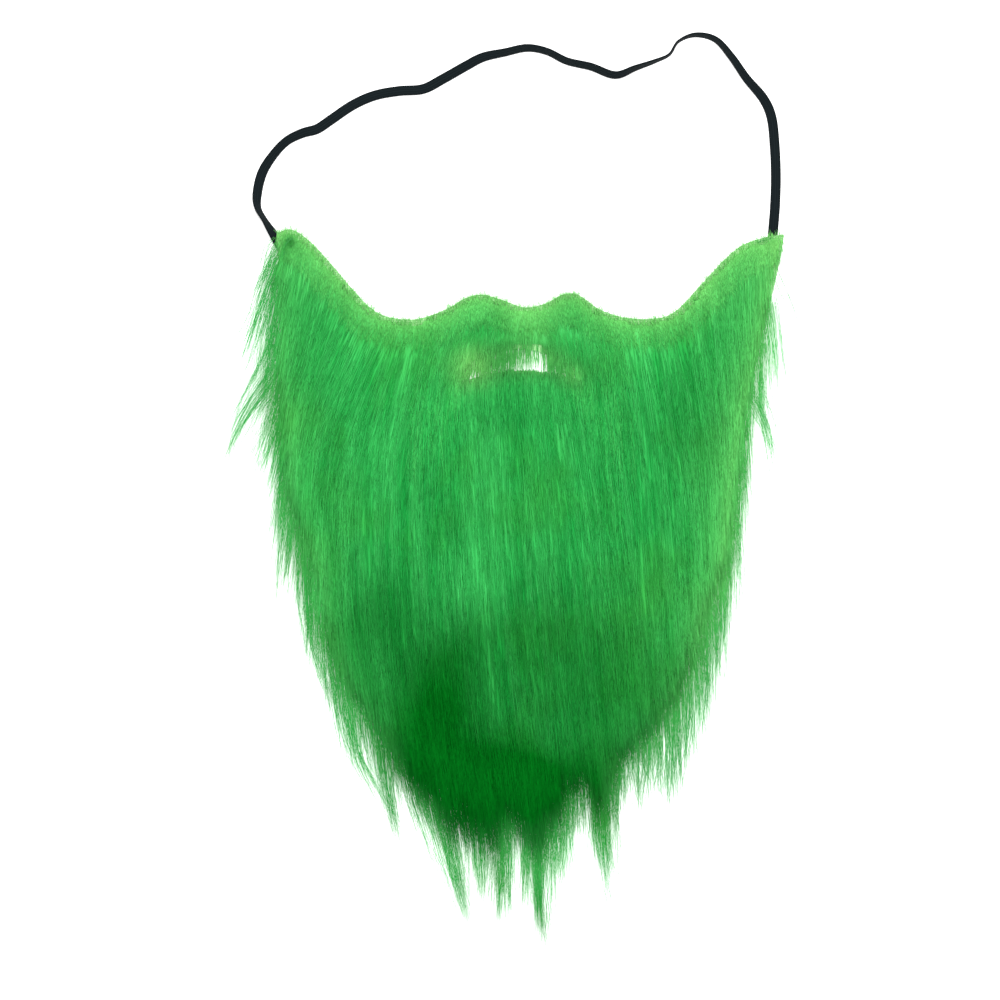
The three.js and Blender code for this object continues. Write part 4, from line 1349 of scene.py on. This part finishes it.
def braid_material():
    material, tree, shader = new_material("black_braid")
    uv = tree.nodes.new("ShaderNodeUVMap")
    uv.uv_map = "braid"
    stretch = tree.nodes.new("ShaderNodeMapping")
    stretch.inputs["Scale"].default_value = (8, 5, 1)
    tree.links.new(uv.outputs["UV"], stretch.inputs["Vector"])
    slant = wave(tree, stretch.outputs["Vector"], 1.2, "DIAGONAL", 0.4)
    ribs = wave(tree, stretch.outputs["Vector"], 1.0, "X", 0.2)
    pattern = calculate(tree, "MULTIPLY", slant, ribs)
    colour = mix_colour(tree, pattern, (0.002, 0.005, 0.006, 1), (0.01, 0.017, 0.021, 1))
    tree.links.new(colour, shader.inputs["Base Color"])
    shader.inputs["Roughness"].default_value = 0.8
    shader.inputs["IOR"].default_value = 1.2
    bump(tree, pattern, shader, 0.7, 0.25 * MM)
    return material


def thread_material():
    material, tree, shader = new_material("green_thread")
    place = tree.nodes.new("ShaderNodeTexCoord").outputs["Object"]
    ply = wave(tree, place, 1400, "DIAGONAL", 0.5)
    colour = mix_colour(tree, ply, (0.008, 0.18, 0.025, 1), (0.02, 0.28, 0.04, 1))
    tree.links.new(colour, shader.inputs["Base Color"])
    shader.inputs["Roughness"].default_value = 0.6
    bump(tree, ply, shader, 0.5, 0.1 * MM)
    return material


OWN_FIBRE = {
    "wisps_left": thin_fibre, "wisps_right": thin_fibre, "loose_ends": thin_fibre,
    "moustache_pile": lip_fibre, "mouth_fibres": lip_fibre, "edge_pile": short_fibre,
}
finishes = [(piece, OWN_FIBRE.get(piece.name, long_fibre), "green_fur") for piece in fur_pieces]
finishes += [(under_pile, deep_fibre, "green_fur")]
finishes += [(backing, knit_material(), "knit_backing"), (strap, braid_material(), "black_elastic")]
thread = thread_material()
finishes += [(tack, thread, "green_fur") for tack in tacks]
for piece, material, slot in finishes:
    piece.data.materials.append(material)
    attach(piece, BODY)
print("finished pieces:", len(finishes))

# %% [markdown]
# ## The table and the light
#
# The beard lies on a white table under a large soft light that comes a little from above the strap, so
# the strap's lifted part has a faint shadow below it. The rest of the light comes from all around.

# %% Table and light
bm = bmesh.new()
bmesh.ops.create_grid(bm, x_segments=1, y_segments=1, size=4)
table = new_object("table", mesh_from(bm, "table"))
table_white, tree, shader = new_material("table_white")
shader.inputs["Base Color"].default_value = (0.93, 0.93, 0.93, 1)
shader.inputs["Roughness"].default_value = 0.6
shader.inputs["Emission Color"].default_value = (1, 1, 1, 1)
shader.inputs["Emission Strength"].default_value = 0.35
table.data.materials.append(table_white)

soft_light = bpy.data.lights.new("soft_box", "AREA")
soft_light.energy = 100
soft_light.shape = "DISK"
soft_light.size = 1.6
lamp = bpy.data.objects.new("soft_box", soft_light)
lamp.location = (0.15, 1.2, 2.9)
lamp.rotation_euler = (Vector((0, 0, 0)) - lamp.location).to_track_quat("-Z", "Y").to_euler()
bpy.context.scene.collection.objects.link(lamp)

world = bpy.data.worlds.new("room")
world.use_nodes = True
world.node_tree.nodes["Background"].inputs["Color"].default_value = (1, 1, 1, 1)
world.node_tree.nodes["Background"].inputs["Strength"].default_value = 0.85
bpy.context.scene.world = world
bpy.context.scene.view_settings.view_transform = "Standard"

# %% [markdown]
# ## What stands for what
#
# The loose fibres and the cloth replace the solid fur, and the braided strap replaces its solid, so both
# solids are hidden.

# %% Hide the solids
for piece in fur_pieces + [under_pile, backing]:
    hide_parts(FUR_NODE)
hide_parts(STRAP_NODE)
